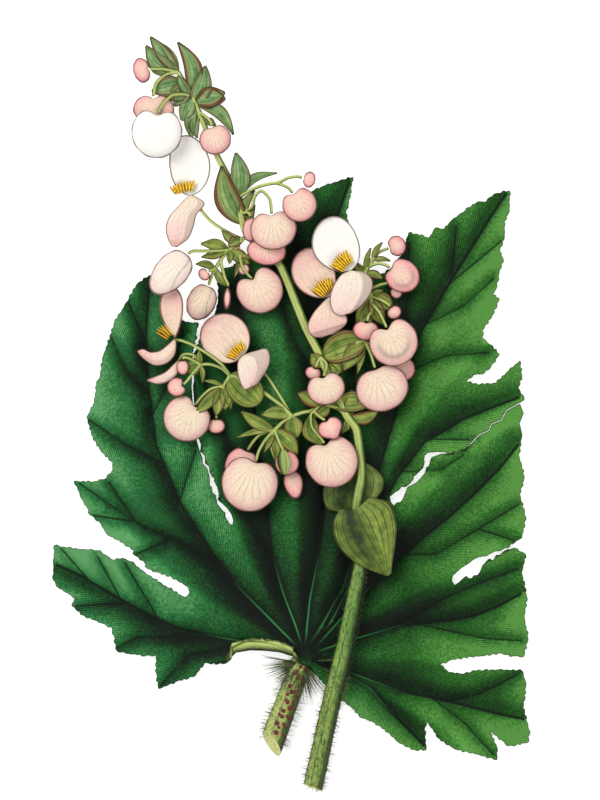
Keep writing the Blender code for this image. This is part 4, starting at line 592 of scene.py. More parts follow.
def blade_middle(places, crease, outward):
    """Maps flat places to the blade's middle in space; what lies beyond the crease rolls up and over."""
    lifted = np.column_stack([places, blade_height(places)])
    for index, place in enumerate(places):
        nearest = int(np.argmin(np.linalg.norm(crease - place, axis=1)))
        beyond = float((place - crease[nearest]) @ outward[nearest])
        if beyond <= 0.01 or np.linalg.norm(crease[nearest] - place) > beyond + 3.6 or place[0] > 1:
            continue
        foot = place - beyond * outward[nearest]
        turn = min(beyond / ROLL_RADIUS, math.pi)
        out = ROLL_RADIUS * math.sin(turn) - max(0.0, beyond - math.pi * ROLL_RADIUS)
        lifted[index, :2] = foot + out * outward[nearest]
        lifted[index, 2] = blade_height(foot[None])[0] + ROLL_RADIUS * (1 - math.cos(turn))
    return lifted


# %% [markdown]
# A constrained triangulation keeps every vein and the margin as edges of the mesh, so the dark vein lines
# stay sharp. The flat net is then lifted to its height and given its thickness on both faces.

# %% The blade's net
FLAP_LINES = 7
FLAP_INNER = 0.86


def flat_net(spacing):
    """Points and triangles inside the margin, with edges along the veins, and its margin's points."""
    crease, outward, flap = curl_rows()
    outer = crease + flap[:, None] * outward
    plain = {mark for mark in MARGIN if mark in LEFT_SLIT or any(
        low[0] < mark[0] < high[0] and low[1] < mark[1] < high[1] for low, high in PLAIN_SLITS)}
    ring = [tuple(spot) for spot in outer] + toothed(MARGIN, plain, TOOTH_SPACING, TOOTH_HEIGHT)
    flat = [Vector(spot) for spot in ring]
    edges = [(k, (k + 1) % len(ring)) for k in range(len(ring))]
    lines = [crease + share * flap[:, None] * outward for share in np.linspace(0, FLAP_INNER, FLAP_LINES)]
    lines = [line[1:-1] for line in lines] + [smooth_path(vein, spacing) for vein in MAIN_VEINS + SIDE_VEINS]
    for line in lines:
        start = len(flat)
        flat.extend(Vector(spot) for spot in line)
        line = np.asarray(line, float)
        within = [inside(line[:-1] + share * (line[1:] - line[:-1]), ring) for share in np.linspace(0, 1, 6)]
        edges.extend((start + int(k), start + int(k) + 1) for k in np.flatnonzero(np.all(within, axis=0)))
    # More points beside each line keep its colour from spreading over wide faces
    for line in lines[FLAP_LINES:] + [np.array(ring + ring[:1])]:
        run = np.gradient(np.asarray(line, float), axis=0)
        run /= np.maximum(np.linalg.norm(run, axis=1, keepdims=True), 1e-6)
        aside = BESIDE * np.column_stack([-run[:, 1], run[:, 0]])
        flat.extend(Vector(spot) for spot in np.vstack([line + aside, line - aside]))
    taken = np.array([spot[:] for spot in flat])
    low, high = taken.min(axis=0), taken.max(axis=0)
    for number, y in enumerate(np.arange(low[1], high[1], 0.87 * spacing)):
        near = taken[np.abs(taken[:, 1] - y) < spacing]
        for x in np.arange(low[0] + 0.5 * spacing * (number % 2), high[0], spacing):
            if len(near) == 0 or np.abs(near - (x, y)).sum(axis=1).min() > 0.8 * spacing:
                flat.append(Vector((x, y)))
    places, _, split, *_ = geometry.delaunay_2d_cdt(flat, edges, [list(range(len(ring)))], 1, MERGE_REACH)
    used = sorted({k for face in split for k in face})
    renumbered = {old: new for new, old in enumerate(used)}
    split = [tuple(renumbered[k] for k in face) for face in split]
    return np.array([places[k][:] for k in used]), np.array(split), crease, outward, ring


def thickened(middle, split, thickness):
    """Both faces of a net and the strip between them; a point's layer values repeat for its other face."""
    normal = np.zeros_like(middle)
    a, b, c = (middle[split[:, k]] for k in range(3))
    push = np.cross(b - a, c - a)
    for k in range(3):
        np.add.at(normal, split[:, k], push)
    normal /= np.linalg.norm(normal, axis=1, keepdims=True)
    half = 0.5 * np.broadcast_to(thickness, len(middle))[:, None] * normal
    count = len(middle)
    faces = split.tolist() + (split[:, ::-1] + count).tolist()
    sides = {(int(i), int(j)) for face in split for i, j in zip(face, np.roll(face, -1))}
    for i, j in sides:
        if (j, i) not in sides:
            faces.append((j, i, count + i, count + j))
    return np.vstack([middle + half, middle - half]), faces


# %% [markdown]
# Painted light and shade: each panel between two veins goes from painted shade to painted light, dark
# beside the vein on its left, as seen from the heart, and light up to the next one. The heart lies in deep
# painted shade, and the crowns, the margin and the outer flanks get painted light. Where two veins are
# equally near, these layers fade, so no seam shows.

# %% The leaf blade
SEAM_REACH = 4


def vein_layers(places, veins):
    """Distance to the nearest vein, its place along and side of it, and how clearly it is the nearest."""
    measures = [distance_to(places, vein) for vein in veins]
    gaps = np.array([gap for gap, _, _ in measures])
    first = np.argmin(gaps, axis=0)
    lengths = [np.linalg.norm(np.diff(np.array(vein, float), axis=0), axis=1).sum() for vein in veins]
    along = np.array([share * length for (_, share, _), length in zip(measures, lengths)])
    sides = np.array([side for _, _, side in measures])
    ordered = np.sort(gaps, axis=0)
    pick = np.arange(len(places))
    sure = np.clip((ordered[1] - ordered[0]) / SEAM_REACH, 0, 1)
    return ordered[0], along[first, pick], sides[first, pick], sure


VEINLET_SLANT = 1.7
PLAIN_TONE, CREST_LIGHT, RIM_LIGHT, FLANK_LIGHT = 0.26, 0.34, 0.16, 0.14
MAIN_SHADE, SIDE_SHADE, HEART_SHADE = 0.27, 0.14, 0.46
MAIN_REACH, SIDE_REACH, HEART_REACH, RIM_REACH, FLANK_START = 13, 5, 62, 12, 45
net, split, crease, outward, ring = flat_net(BLADE_MESH)
middle = blade_middle(net, crease, outward)
main_gap, main_along, main_turn, main_sure = vein_layers(net, MAIN_VEINS)
side_gap, _, side_turn, side_sure = vein_layers(net, SIDE_VEINS)
veinlet = (main_along - VEINLET_SLANT * main_gap) / math.hypot(1, VEINLET_SLANT)
rim_gap = distance_to(net, ring + ring[:1])[0]
from_heart = np.linalg.norm(net - HEART, axis=1)
valley = np.minimum(main_gap / 8, side_gap / 5)
# Painted light on crowns, margin and outer flanks; painted shade beside the veins and round the heart.
tone_and_painted_shading = PLAIN_TONE + CREST_LIGHT * np.clip(valley, 0, 1) + RIM_LIGHT * np.clip(1 - rim_gap / RIM_REACH, 0, 1)
tone_and_painted_shading -= MAIN_SHADE * main_turn * main_sure * np.clip(main_gap / 1.5, 0, 1) * np.exp(-main_gap / MAIN_REACH)
tone_and_painted_shading -= SIDE_SHADE * side_turn * side_sure * np.clip(side_gap / 1.5, 0, 1) * np.exp(-side_gap / SIDE_REACH)
upward = np.clip(0.65 + 0.5 * (net[:, 1] - HEART[1]) / np.maximum(from_heart, 1), 0.3, 1)
flank = np.clip((np.abs(net[:, 0]) - FLANK_START) / FLANK_START, 0, 1)
tone_and_painted_shading += FLANK_LIGHT * flank - HEART_SHADE * upward * np.exp(-((from_heart / HEART_REACH) ** 2))
flap = np.clip(distance_to(net, CURL)[0] / 2.0 - 0.8, 0, 1) * (middle[:, 2] > blade_height(net) + 0.8)
warmth = np.clip(0.5 + net[:, 0] / 90, 0, 1)
rib = np.clip(1.8 - from_heart / 24, 0, 1) * np.clip(from_heart / 6 - 1, 0, 1)
rib *= np.clip(4 * main_sure - 1.2, 0, 1)
layers = {"vein": main_gap, "side_vein": side_gap, "veinlet": veinlet, "hatch": main_sure,
          "rim": rim_gap, "rib": rib, "tone_and_painted_shading": tone_and_painted_shading, "flap": flap, "warmth": warmth}
points, faces = thickened(middle, split, BLADE_THICKNESS)
points[:, 2] = np.maximum(points[:, 2], 0.0)
layers = {name: np.tile(values, 2) for name, values in layers.items()}
leaf_blade = make_piece("leaf_blade_pleated", points, faces, leaf_skin, layers)
leaf_blade.data.set_sharp_from_angle(angle=math.radians(55))
hand_over(leaf_blade, "leaf_green", "leaf_blade")

# %% [markdown]
# ## Where everything lies
# The stem and its blooms lie on the leaf and on each other. A height map of half-millimetre cells
# remembers what is highest over each spot, and every strand is lifted just clear of what it crosses.
# The map is filled from the part's solids in the order in which they were laid down.

# %% The height map
CELL = 0.5
MAP_CORNER = (-110.0, -170.0)
MAP_CELLS = (430, 660)
heights = np.full(MAP_CELLS, -GAP)


def cells_of(places):
    """The map's cells that hold these places."""
    return tuple(np.floor((places[:, axis] - MAP_CORNER[axis]) / CELL).astype(int) for axis in (0, 1))


def height_under(places):
    """The greatest height laid down so far at each place."""
    return heights[cells_of(np.asarray(places, float))]


def cover(node):
    """Adds a solid to the height map, one cell wider than it is."""
    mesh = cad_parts[node].data
    mesh.calc_loop_triangles()
    spots = np.array([vertex.co[:] for vertex in mesh.vertices]) / MM + (*ORIGIN, 0.0)
    found = []
    for triangle in mesh.loop_triangles:
        a, b, c = (spots[k] for k in triangle.vertices)
        longest = max(np.linalg.norm((b - a)[:2]), np.linalg.norm((c - a)[:2]))
        steps = max(1, math.ceil(longest / (0.7 * CELL)))
        i, j = np.meshgrid(np.arange(steps + 1), np.arange(steps + 1))
        kept = i + j <= steps
        found.append(a + np.outer(i[kept] / steps, b - a) + np.outer(j[kept] / steps, c - a))
    samples = np.concatenate(found)
    i, j = cells_of(samples)
    for across in (-1, 0, 1):
        for along in (-1, 0, 1):
            np.maximum.at(heights, (i + across, j + along), samples[:, 2])


# %% [markdown]
# ## Shapes that sweep
# A stem is a tube along a path, with rings that follow it. A petal or a bract is a grid of points with a
# thickness. Both are closed, with their faces outwards.

# %% Tubes and blades
CUT_REACH = 8.0


def grid_faces(rows, columns, around=False):
    """Four-sided faces of a grid of points, closed round its columns if asked."""
    i, j = np.meshgrid(np.arange(rows - 1), np.arange(columns if around else columns - 1), indexing="ij")
    a, b = i * columns + j, i * columns + (j + 1) % columns
    return np.stack([a, b, b + columns, a + columns], axis=-1).reshape(-1, 4)


def facing_out(points, faces):
    """The same solid with its faces outwards."""
    points = np.asarray(points, float)
    corners = [(face[0], face[k], face[k + 1]) for face in faces for k in range(1, len(face) - 1)]
    a, b, c = (points[[corner[k] for corner in corners]] for k in range(3))
    volume = np.einsum("ij,ij->i", a, np.cross(b, c)).sum()
    return points, [tuple(face) if volume > 0 else tuple(face)[::-1] for face in faces]


def tube(path, radii, sides, lean=(0.0, 0.0), lush=0.0):
    """A tube with rounded ends, and the layers that its finish reads; lean slants the cut at its start."""
    path = np.asarray(path, float)
    radii = np.broadcast_to(radii, len(path))
    ahead = np.gradient(path, axis=0)
    ahead /= np.linalg.norm(ahead, axis=1, keepdims=True)
    side = np.column_stack([ahead[:, 1], -ahead[:, 0], np.zeros(len(path))])
    side /= np.linalg.norm(side, axis=1, keepdims=True)
    up = np.cross(side, ahead)
    turn = 2 * math.pi * (np.arange(sides) + 0.5) / sides
    rings = np.cos(turn)[None, :, None] * side[:, None] + np.sin(turn)[None, :, None] * up[:, None]
    points = path[:, None] + radii[:, None, None] * rings
    along = np.concatenate([[0], np.cumsum(np.linalg.norm(np.diff(path, axis=0), axis=1))])
    slant = lean[0] * np.sin(turn) - lean[1] * np.cos(turn)
    points += np.clip(1 - along / CUT_REACH, 0, 1)[:, None, None] * slant[None, :, None] * ahead[:, None]
    count = len(path) * sides
    faces = grid_faces(len(path), sides, True).tolist()
    faces += [(count, (k + 1) % sides, k) for k in range(sides)]
    last = count - sides
    faces += [(count + 1, last + k, last + (k + 1) % sides) for k in range(sides)]
    ends = np.array([path[0], path[-1] + 0.4 * radii[-1] * ahead[-1]])
    points, faces = facing_out(np.vstack([points.reshape(-1, 3), ends]), faces)
    lush = np.broadcast_to(lush, len(path))
    # Painted light on the upper left of each ring, towards the key light; painted shade at both sides.
    crown = 0.5 + 0.5 * np.cos(turn - math.radians(125))
    crown -= 0.45 * np.exp(-((turn / 0.95) ** 4)) + 0.35 * np.exp(-(((math.pi - turn) / 0.3) ** 2))
    crown = np.tile(crown, len(path))
    return points, faces, {
        "around": np.append(np.tile(turn * 7, len(path)), [0, 0]),
        "crown": np.append(crown, [0.9, 0.9]),
        "lush": np.append(np.repeat(lush, sides), lush[[0, -1]]),
    }


def blade(grid, thickness, layers):
    """A closed blade round a grid of middle points; layers hold one value for each of them."""
    rows, columns = grid.shape[:2]
    normal = np.cross(np.gradient(grid, axis=1), np.gradient(grid, axis=0))
    normal /= np.maximum(np.linalg.norm(normal, axis=2, keepdims=True), 1e-9)
    normal *= np.where(normal[:, :, 2:] < 0, -1, 1)
    half = 0.5 * thickness * normal
    points = np.vstack([(grid + half).reshape(-1, 3), (grid - half).reshape(-1, 3)])
    under = rows * columns
    faces = grid_faces(rows, columns)
    edge = list(range(columns))
    edge += [row * columns + columns - 1 for row in range(1, rows)]
    edge += [(rows - 1) * columns + k for k in range(columns - 2, -1, -1)]
    edge += [row * columns for row in range(rows - 2, 0, -1)]
    strip = [(there, here, under + here, under + there) for here, there in zip(edge, edge[1:] + edge[:1])]
    points, faces = facing_out(points, faces.tolist() + (faces[:, ::-1] + under).tolist() + strip)
    return points, faces, {name: np.tile(np.ravel(values), 2) for name, values in layers.items()}


def show_cut(piece, centre, count=None):
    """Gives the flat cut round a tube's first end point its own finish."""
    piece.data.materials.append(cut_flesh)
    for face in piece.data.polygons[:count]:
        if centre in face.vertices:
            face.material_index = 1
            face.use_smooth = False


def joined(parts):
    """Several pieces as one list of points, faces and layers."""
    points, faces, layers = [], [], {}
    count = 0
    for more, sides, values in parts:
        faces += [tuple(k + count for k in side) for side in sides]
        points.append(more)
        count += len(more)
        for name, numbers in values.items():
            layers.setdefault(name, []).append(numbers)
    return np.vstack(points), faces, {name: np.concatenate(numbers) for name, numbers in layers.items()}


# %% [markdown]
# ## The leaf stalk
# A thick, juicy stalk, cut slanting at its lower end. Bristles and red spots are added to it further on.
# It lies on one flat side, as the solid does, so it doesn't roll.

# %% The leaf stalk
STALK_RADIUS = (4.2, 4.95)
STALK_SIDES = 12
STALK_LUSH = 0.4
CUT_LEAN = (2.6, 3.2)
stalk_shares = np.linspace(0, 1, 34)
stalk_radii = STALK_RADIUS[1] + stalk_shares * (STALK_RADIUS[0] - STALK_RADIUS[1])
flat_side = math.cos(math.pi / STALK_SIDES)
places = STALK_CUT + stalk_shares[:, None] * (STALK_TOP - STALK_CUT)
stalk_path = np.column_stack([places, stalk_radii * flat_side])
points, faces, layers = tube(stalk_path, stalk_radii, 48, CUT_LEAN, STALK_LUSH)
points[:, 2] = np.maximum(points[:, 2], 0.0)
leaf_stalk = make_piece("leaf_stalk_ridged", points, faces, stem_skin, layers)
show_cut(leaf_stalk, len(points) - 2)
hand_over(leaf_stalk, "stalk_green", "leaf_stalk")
cover("leaf_blade")
blade_heights = heights.copy()
cover("leaf_stalk")
cover("bract_lower_back")

# %% [markdown]
# ## The flowering stem
# The main axis zigzags from fork to fork. At each fork branches leave it, and pairs of bracts sit behind
# them. Each mark holds the place and, on the axis, the height of its middle and its radius.

# %% Marks of the stem, its branches and its bracts
AXIS = [
    (5.2, -156.0, 4.1, 4.0), (9.4, -136.0, 8.2, 3.8), (13.0, -119.2, 12.4, 3.7), (17.6, -100.8, 13.2, 3.6),
    (22.4, -76.4, 12.0, 3.1), (24.6, -62.0, 11.2, 2.6), (23.0, -43.2, 11.0, 2.2), (24.8, -31.2, 10.4, 1.9),
    (24.0, -20.0, 9.8, 1.8), (22.4, -11.0, 9.4, 1.8), (19.2, -6.8, 9.2, 1.8), (12.5, 8.0, 8.8, 1.8),
    (8.2, 18.0, 8.4, 1.8), (3.2, 27.6, 8.0, 1.8), (-0.8, 37.2, 7.4, 1.8), (-8.0, 54.2, 6.8, 1.7),
    (-14.6, 61.0, 6.4, 1.6), (-21.2, 66.6, 6.0, 1.6), (-23.6, 75.0, 5.6, 1.5), (-24.6, 81.5, 5.2, 1.4),
    (-33.6, 98.8, 4.4, 1.2), (-40.5, 115.5, 3.8, 1.1), (-43.6, 122.5, 3.4, 1.0), (-49.0, 132.0, 3.0, 0.9),
]
BRANCHES = [
    (0.85,
        [(19.2, -6.8), (16, -3.8), (12, -2.2), (8, -2.4), (4.8, -4.2), (1, -4.9), (-3.2, -6.4),
         (-6.5, -8.4), (-10.4, -12)]),
    (0.9, [(-3.2, -6.4), (-7.6, -2), (-14.5, 3.2), (-21, 8), (-28.2, 10)]),
    (0.7, [(-28.2, 10), (-30.8, 5.6)]),
    (0.7, [(-28.2, 10), (-31.5, 12.8), (-36, 14.4), (-40, 14.3)]),
    (0.95,
        [(8.2, 18), (14.5, 19.3), (20, 22.8), (25.8, 23.8), (28.2, 32), (28.6, 41.5), (27.2, 46.5),
         (26.4, 51.2), (29, 56.2)]),
    (0.8, [(-22.4, 68), (-25, 62.6), (-28.8, 60.4), (-32, 56), (-34, 53)]),
    (0.7, [(-24.2, 63.5), (-24.4, 58)]),
]
BRACTS_BEHIND = [
    ((-24.6, 72), (-31.5, 94), 10.5, 0.75, 2.6),
    ((-22.8, 80), (-25.8, 99.4), 8.0, 0.8, -1.2),
    ((-24.2, 83), (-9.2, 91.2), 3.6, 0.9, 3.2),
    ((-23.8, 71), (-18.2, 84.2), 4.0, 0.9, 2.0),
    ((-22.0, 67), (-18.2, 78.5), 3.2, 0.9, 0.6),
    ((-24.6, 64), (-31.4, 68.2), 3.6, 0.9, 0.4),
    ((-23.0, 66), (-28.8, 61.8), 4.6, 0.9, -0.6),
    ((-28.8, 60.6), (-39.8, 62.8), 5.0, 0.8, -0.8),
    ((-28.8, 60.0), (-39.6, 57.4), 3.6, 0.9, 0.5),
    ((-28.8, 60.2), (-28.2, 54.8), 2.8, 0.9, 0.4),
    ((-24.4, 58.4), (-26.4, 49.2), 2.4, 0.8, 0.6),
    ((-24.4, 58.4), (-19.4, 56.6), 2.2, 0.9, 0.4),
    ((-34, 53), (-41.8, 54.6), 3.2, 0.8, -0.8),
    ((-34, 53), (-28.5, 45.4), 3.2, 0.8, -1.0),
    ((-42.2, 119.5), (-38.0, 134.5), 8.0, 0.7, -1.0),
    ((-42.0, 121.5), (-49.2, 144), 7.4, 0.8, -3.4),
    ((-49.0, 132.0), (-60.2, 146.2), 6.0, 0.9, 0.2),
    ((-48.0, 130.5), (-62.0, 142.6), 8.0, 0.8, 2.6),
    ((-46.8, 128.0), (-59.6, 124.0), 8.5, 0.9, -0.6),
    ((-41.4, 118.0), (-30.0, 121.2), 7.8, 1.1, 1.4),
    ((-41.6, 118.6), (-43.6, 105.2), 5.0, 1.0, -1.2),
    ((-40.4, 115.4), (-41.4, 105.4), 4.0, 1.0, -1.6),
    ((-39.6, 113.6), (-33.8, 110.4), 3.2, 0.9, 0.8),
    ((-45.4, 126.0), (-50.4, 118.2), 6.5, 0.9, 0.6),
    ((26.4, 51.6), (28.3, 61.0), 2.4, 0.8, 0.5),
    ((28.9, 56.0), (33.0, 63.3), 2.3, 0.9, 0.6),
    ((28.8, 55.6), (36.2, 55.9), 2.2, 0.8, 0.6),
    ((26.5, 51.0), (33.4, 48.6), 3.4, 0.8, 0.5),
    ((26.4, 51.4), (21.6, 54.6), 3.4, 0.8, 0.2),
    ((28.5, 41.0), (36.8, 37.0), 3.4, 0.9, 1.6),
    ((28.5, 41.2), (33.2, 44.0), 3.0, 0.8, 0.4),
    ((28.5, 40.5), (23.0, 33.2), 3.6, 0.9, -1.6),
    ((28.4, 36.0), (25.0, 31.4), 3.0, 0.9, 0.2),
    ((25.8, 23.6), (17.2, 11.8), 7.4, 0.8, -0.4),
    ((25.8, 23.4), (23.0, 10.4), 2.8, 0.9, 0.2),
    ((8.2, 18.0), (16.6, 10.8), 5.0, 1.0, 2.4),
    ((8.4, 17.6), (4.2, 16.0), 2.4, 0.9, 0.2),
    ((7.0, -3.0), (-1.0, 2.8), 6.4, 0.9, -0.6),
    ((-3.2, -6.4), (-15.6, -6.0), 5.4, 0.9, -1.2),
    ((-2.0, -6.0), (-1.0, -15.0), 7.6, 0.9, -0.4),
    ((-10.4, -12), (-23.6, -4.6), 5.2, 0.9, 0.8),
    ((-10.4, -12), (-25.2, -15.0), 2.6, 0.9, -0.8),
    ((-10.4, -12), (-14.6, -21.2), 2.6, 0.9, 0.4),
    ((-10.4, -12), (-0.8, -21.6), 7.2, 0.9, 0.8),
    ((-10.4, -12), (-9.0, -25.8), 3.4, 0.9, 0.2),
    ((5.2, -4.2), (8.6, -18.2), 7.6, 1.3, -2.4),
    ((14.0, -2.9), (5.0, -6.6), 4.6, 0.8, 0.8),
    ((19.2, -6.8), (16.8, -13.4), 3.2, 0.9, 0.8),
    ((19.2, -6.8), (31.6, -4.4), 5.2, 1.0, -1.8),
    ((19.2, -6.8), (20.8, 4.2), 5.4, 0.9, -0.6),
    ((-40, 14.3), (-40.4, 20.0), 2.8, 0.8, 0.2),
    ((-40, 14.3), (-39.2, 6.8), 2.4, 0.8, 0.6),
    ((-30.8, 5.6), (-38.6, 7.7), 2.0, 0.9, -0.6),
    ((-30.8, 5.6), (-27.8, -3.6), 3.2, 0.9, 0.8),
]
BRACTS_ROUND = [((-28.2, 10), (-16.0, -1.2), 13.6, 1.0, 0.0), ((25.8, 23.6), (9.4, 17.6), 12.6, 0.95, -1.0)]
BRACTS_FRONT = [
    ((-42.4, 120.6), (-26.8, 106.8), 5.4, 0.9, 3.4),
    ((-49.0, 131.0), (-57.6, 144.4), 3.4, 0.8, -1.4),
    ((-44.4, 124.4), (-49.2, 130.6), 4.0, 0.9, 0.4),
]
BLOOMS = [
    ("bloom_tip_back", (-58.8, 117), 16.6, 12.4, (-58.8, 121.2), 5.0, 0,
        [(-48.6, 131.2), (-54, 131), (-58, 127), (-58.9, 123)]),
    ("bud_tip", (-63.6, 132.5), 10.2, 6.8, (-61.0, 133.1), 4.2, 0,
        [(-49, 132), (-55, 133.2), (-59, 133.2)]),
    ("bloom_tip_right", (-34, 104.6), 12.8, 12.2, (-35.4, 109.2), 5.6, 0,
        [(-40.6, 116), (-37.6, 113.6), (-36, 111.6)]),
    ("bloom_tip_white", (-57.4, 107.4), 20.4, 21.0, (-57.0, 114.2), 6.4, 0,
        [(-43.8, 122), (-47, 123), (-51, 122.6), (-55, 119), (-56.8, 115.8)]),
    ("bloom_upper_rose", (-13.4, 59.8), 15.8, 11.6, (-13.0, 64.0), 4.2, 0,
        [(-20.8, 66.2), (-17, 68.6), (-13.6, 66.6)]),
    ("bud_upper_left", (-19.8, 68.4), 6.4, 10.2, (-19.4, 72.8), 3.0, 0, [(-23.4, 73.4), (-20.8, 75)]),
    ("bloom_upper_middle", (-10.6, 68.2), 18.6, 16.4, (-11.4, 73.8), 6.2, 0,
        [(-23.2, 73), (-19.2, 77.5), (-18.2, 81.5), (-15.5, 83.8), (-12.4, 81), (-11.4, 76)]),
    ("bloom_upper_right", (-0.2, 78.0), 13.8, 14.0, (-2.4, 82.2), 5.8, 0,
        [(-24.2, 79.5), (-19, 84.6), (-14, 86.2), (-9, 86.6), (-5, 85)]),
    ("bud_upper_right", (3.7, 87.9), 6.6, 5.0, (1.5, 88.4), 3.0, 0,
        [(-9.6, 86.6), (-5, 88.6), (-1, 89.2)]),
    ("bud_upper_small", (-22.5, 52.4), 4.6, 4.4, (-23.2, 54.0), 2.6, 0, [(-24.4, 58), (-23.8, 55.6)]),
    ("bloom_middle", (-16.2, 44.2), 18.8, 19.2, (-18.8, 48.4), 6.4, 0,
        [(-24.4, 58), (-23, 53), (-20.6, 49.8)]),
    ("bud_narrow", (-29.2, 40.8), 2.8, 9.4, (-29.0, 45.0), 2.2, 0,
        [(-32.4, 55.4), (-30.2, 49), (-29, 46.6)]),
    ("bud_left_small", (-38.5, 50.4), 5.2, 4.4, (-37.2, 51.4), 2.6, 0, [(-34, 53), (-36, 52)]),
    ("bloom_left_drooping", (-39.6, 39.6), 11.6, 15.6, (-36.8, 45.8), 5.0, 0,
        [(-33.6, 53.4), (-35.4, 50), (-36.4, 47.4)]),
    ("bloom_left_folded", (-51.2, 51.6), 13.4, 21.0, (-45.2, 58.2), 5.6, 1.2,
        [(-28.8, 60.4), (-36, 59.8), (-43, 59.6)]),
    ("bud_right_under", (38.7, 43.2), 4.8, 5.0, (38.2, 45.2), 2.6, 0,
        [(28.5, 44), (33, 46.4), (37, 47)]),
    ("bloom_right_rose", (40.9, 49.8), 13.2, 14.6, (36.6, 52.6), 5.4, 0,
        [(28.2, 54.4), (31.6, 54.8), (35, 53.8)]),
    ("bud_right_top", (38.9, 62.0), 8.4, 7.4, (36.1, 61.1), 3.8, 0,
        [(28.9, 56.2), (31.6, 59.2), (34.4, 60.6)]),
    ("bud_right_edge", (37.8, 35.1), 6.0, 5.2, (36.4, 36.8), 3.0, 0,
        [(28.6, 41), (32.6, 40), (35.4, 38.2)]),
    ("bud_right_pair", (26.4, 27.9), 10.6, 8.2, (26.7, 30.8), 4.4, 0, [(28.4, 36), (27.4, 34)]),
    ("bloom_right_back", (41.4, 12.6), 9.6, 10.0, (38.6, 15.8), 3.4, 0,
        [(25.9, 23.6), (31, 20), (36, 17.6)]),
    ("bloom_right_low", (32.9, 4.8), 21.4, 18.8, (30.2, 12.2), 6.4, 0,
        [(25.8, 23.2), (28.4, 18), (29.6, 14)]),
    ("bloom_right", (37.4, 23.2), 19.6, 19.4, (34.9, 28.2), 6.6, 0,
        [(28.5, 40), (31.4, 35.5), (33.6, 31)]),
    ("bud_centre_back", (5.3, 10.8), 6.6, 5.4, (5.9, 12.4), 2.8, 0, [(8.2, 17.8), (6.8, 14.8)]),
    ("bloom_centre_low", (10.4, 4.7), 15.4, 13.4, (9.3, 8.8), 5.6, 0,
        [(9.4, 17), (10.6, 13.8), (9.8, 11.2)]),
    ("bloom_low_right", (12.7, -24.4), 21.2, 21.6, (10.2, -18.0), 6.8, 0,
        [(6.4, -3.2), (4.3, -6), (4.6, -10.5), (8.2, -15.4)]),
    ("bud_heart", (12.0, -11.0), 10.2, 8.2, (10.6, -8.6), 4.0, 1.2, [(4.6, -4.4), (7.6, -6.6)]),
    ("bloom_low_back", (-23.6, -26.0), 13.0, 15.0, (-21.4, -20.6), 4.4, 0,
        [(-10.4, -12), (-16, -13.8), (-19.4, -17.4)]),
    ("bloom_low_large", (-20.1, -33.3), 22.8, 23.0, (-17.8, -25.0), 7.2, 0,
        [(-10.4, -12), (-14, -16), (-16.6, -20.5), (-17.4, -23.2)]),
    ("bud_low_pointed", (-2.7, -33.2), 7.8, 10.6, (-3.6, -28.6), 4.4, 1.4,
        [(-10.4, -12), (-11.6, -19), (-8.6, -25.6), (-5, -27.6)]),
    ("bloom_low_rose", (-5.2, -25.2), 9.6, 9.8, (-6.6, -21.2), 3.6, 0,
        [(-10.4, -12), (-8.4, -17), (-7.2, -19.4)]),
    ("bud_left_low", (-33.7, -10.4), 7.4, 6.2, (-33.7, -8.0), 3.4, 0,
        [(-30.8, 5.6), (-32.4, 0), (-33.6, -5.4)]),
    ("bloom_left_low", (-45.4, -7.3), 19.0, 18.8, (-42.2, -2.6), 6.4, 0,
        [(-30.8, 5.6), (-35.6, 4.6), (-39.4, 1.4), (-41.4, -1)]),
    ("bud_left_kidney", (-49.3, 5.2), 7.6, 7.8, (-47.4, 5.8), 3.6, 0,
        [(-40, 14.3), (-43, 10.8), (-45.4, 7.6)]),
    ("bud_left_round", (-47.0, 13.2), 5.0, 6.6, (-47.2, 15.6), 3.2, 0,
        [(-39.6, 14.4), (-44, 16.6), (-46.6, 17.2)]),
]
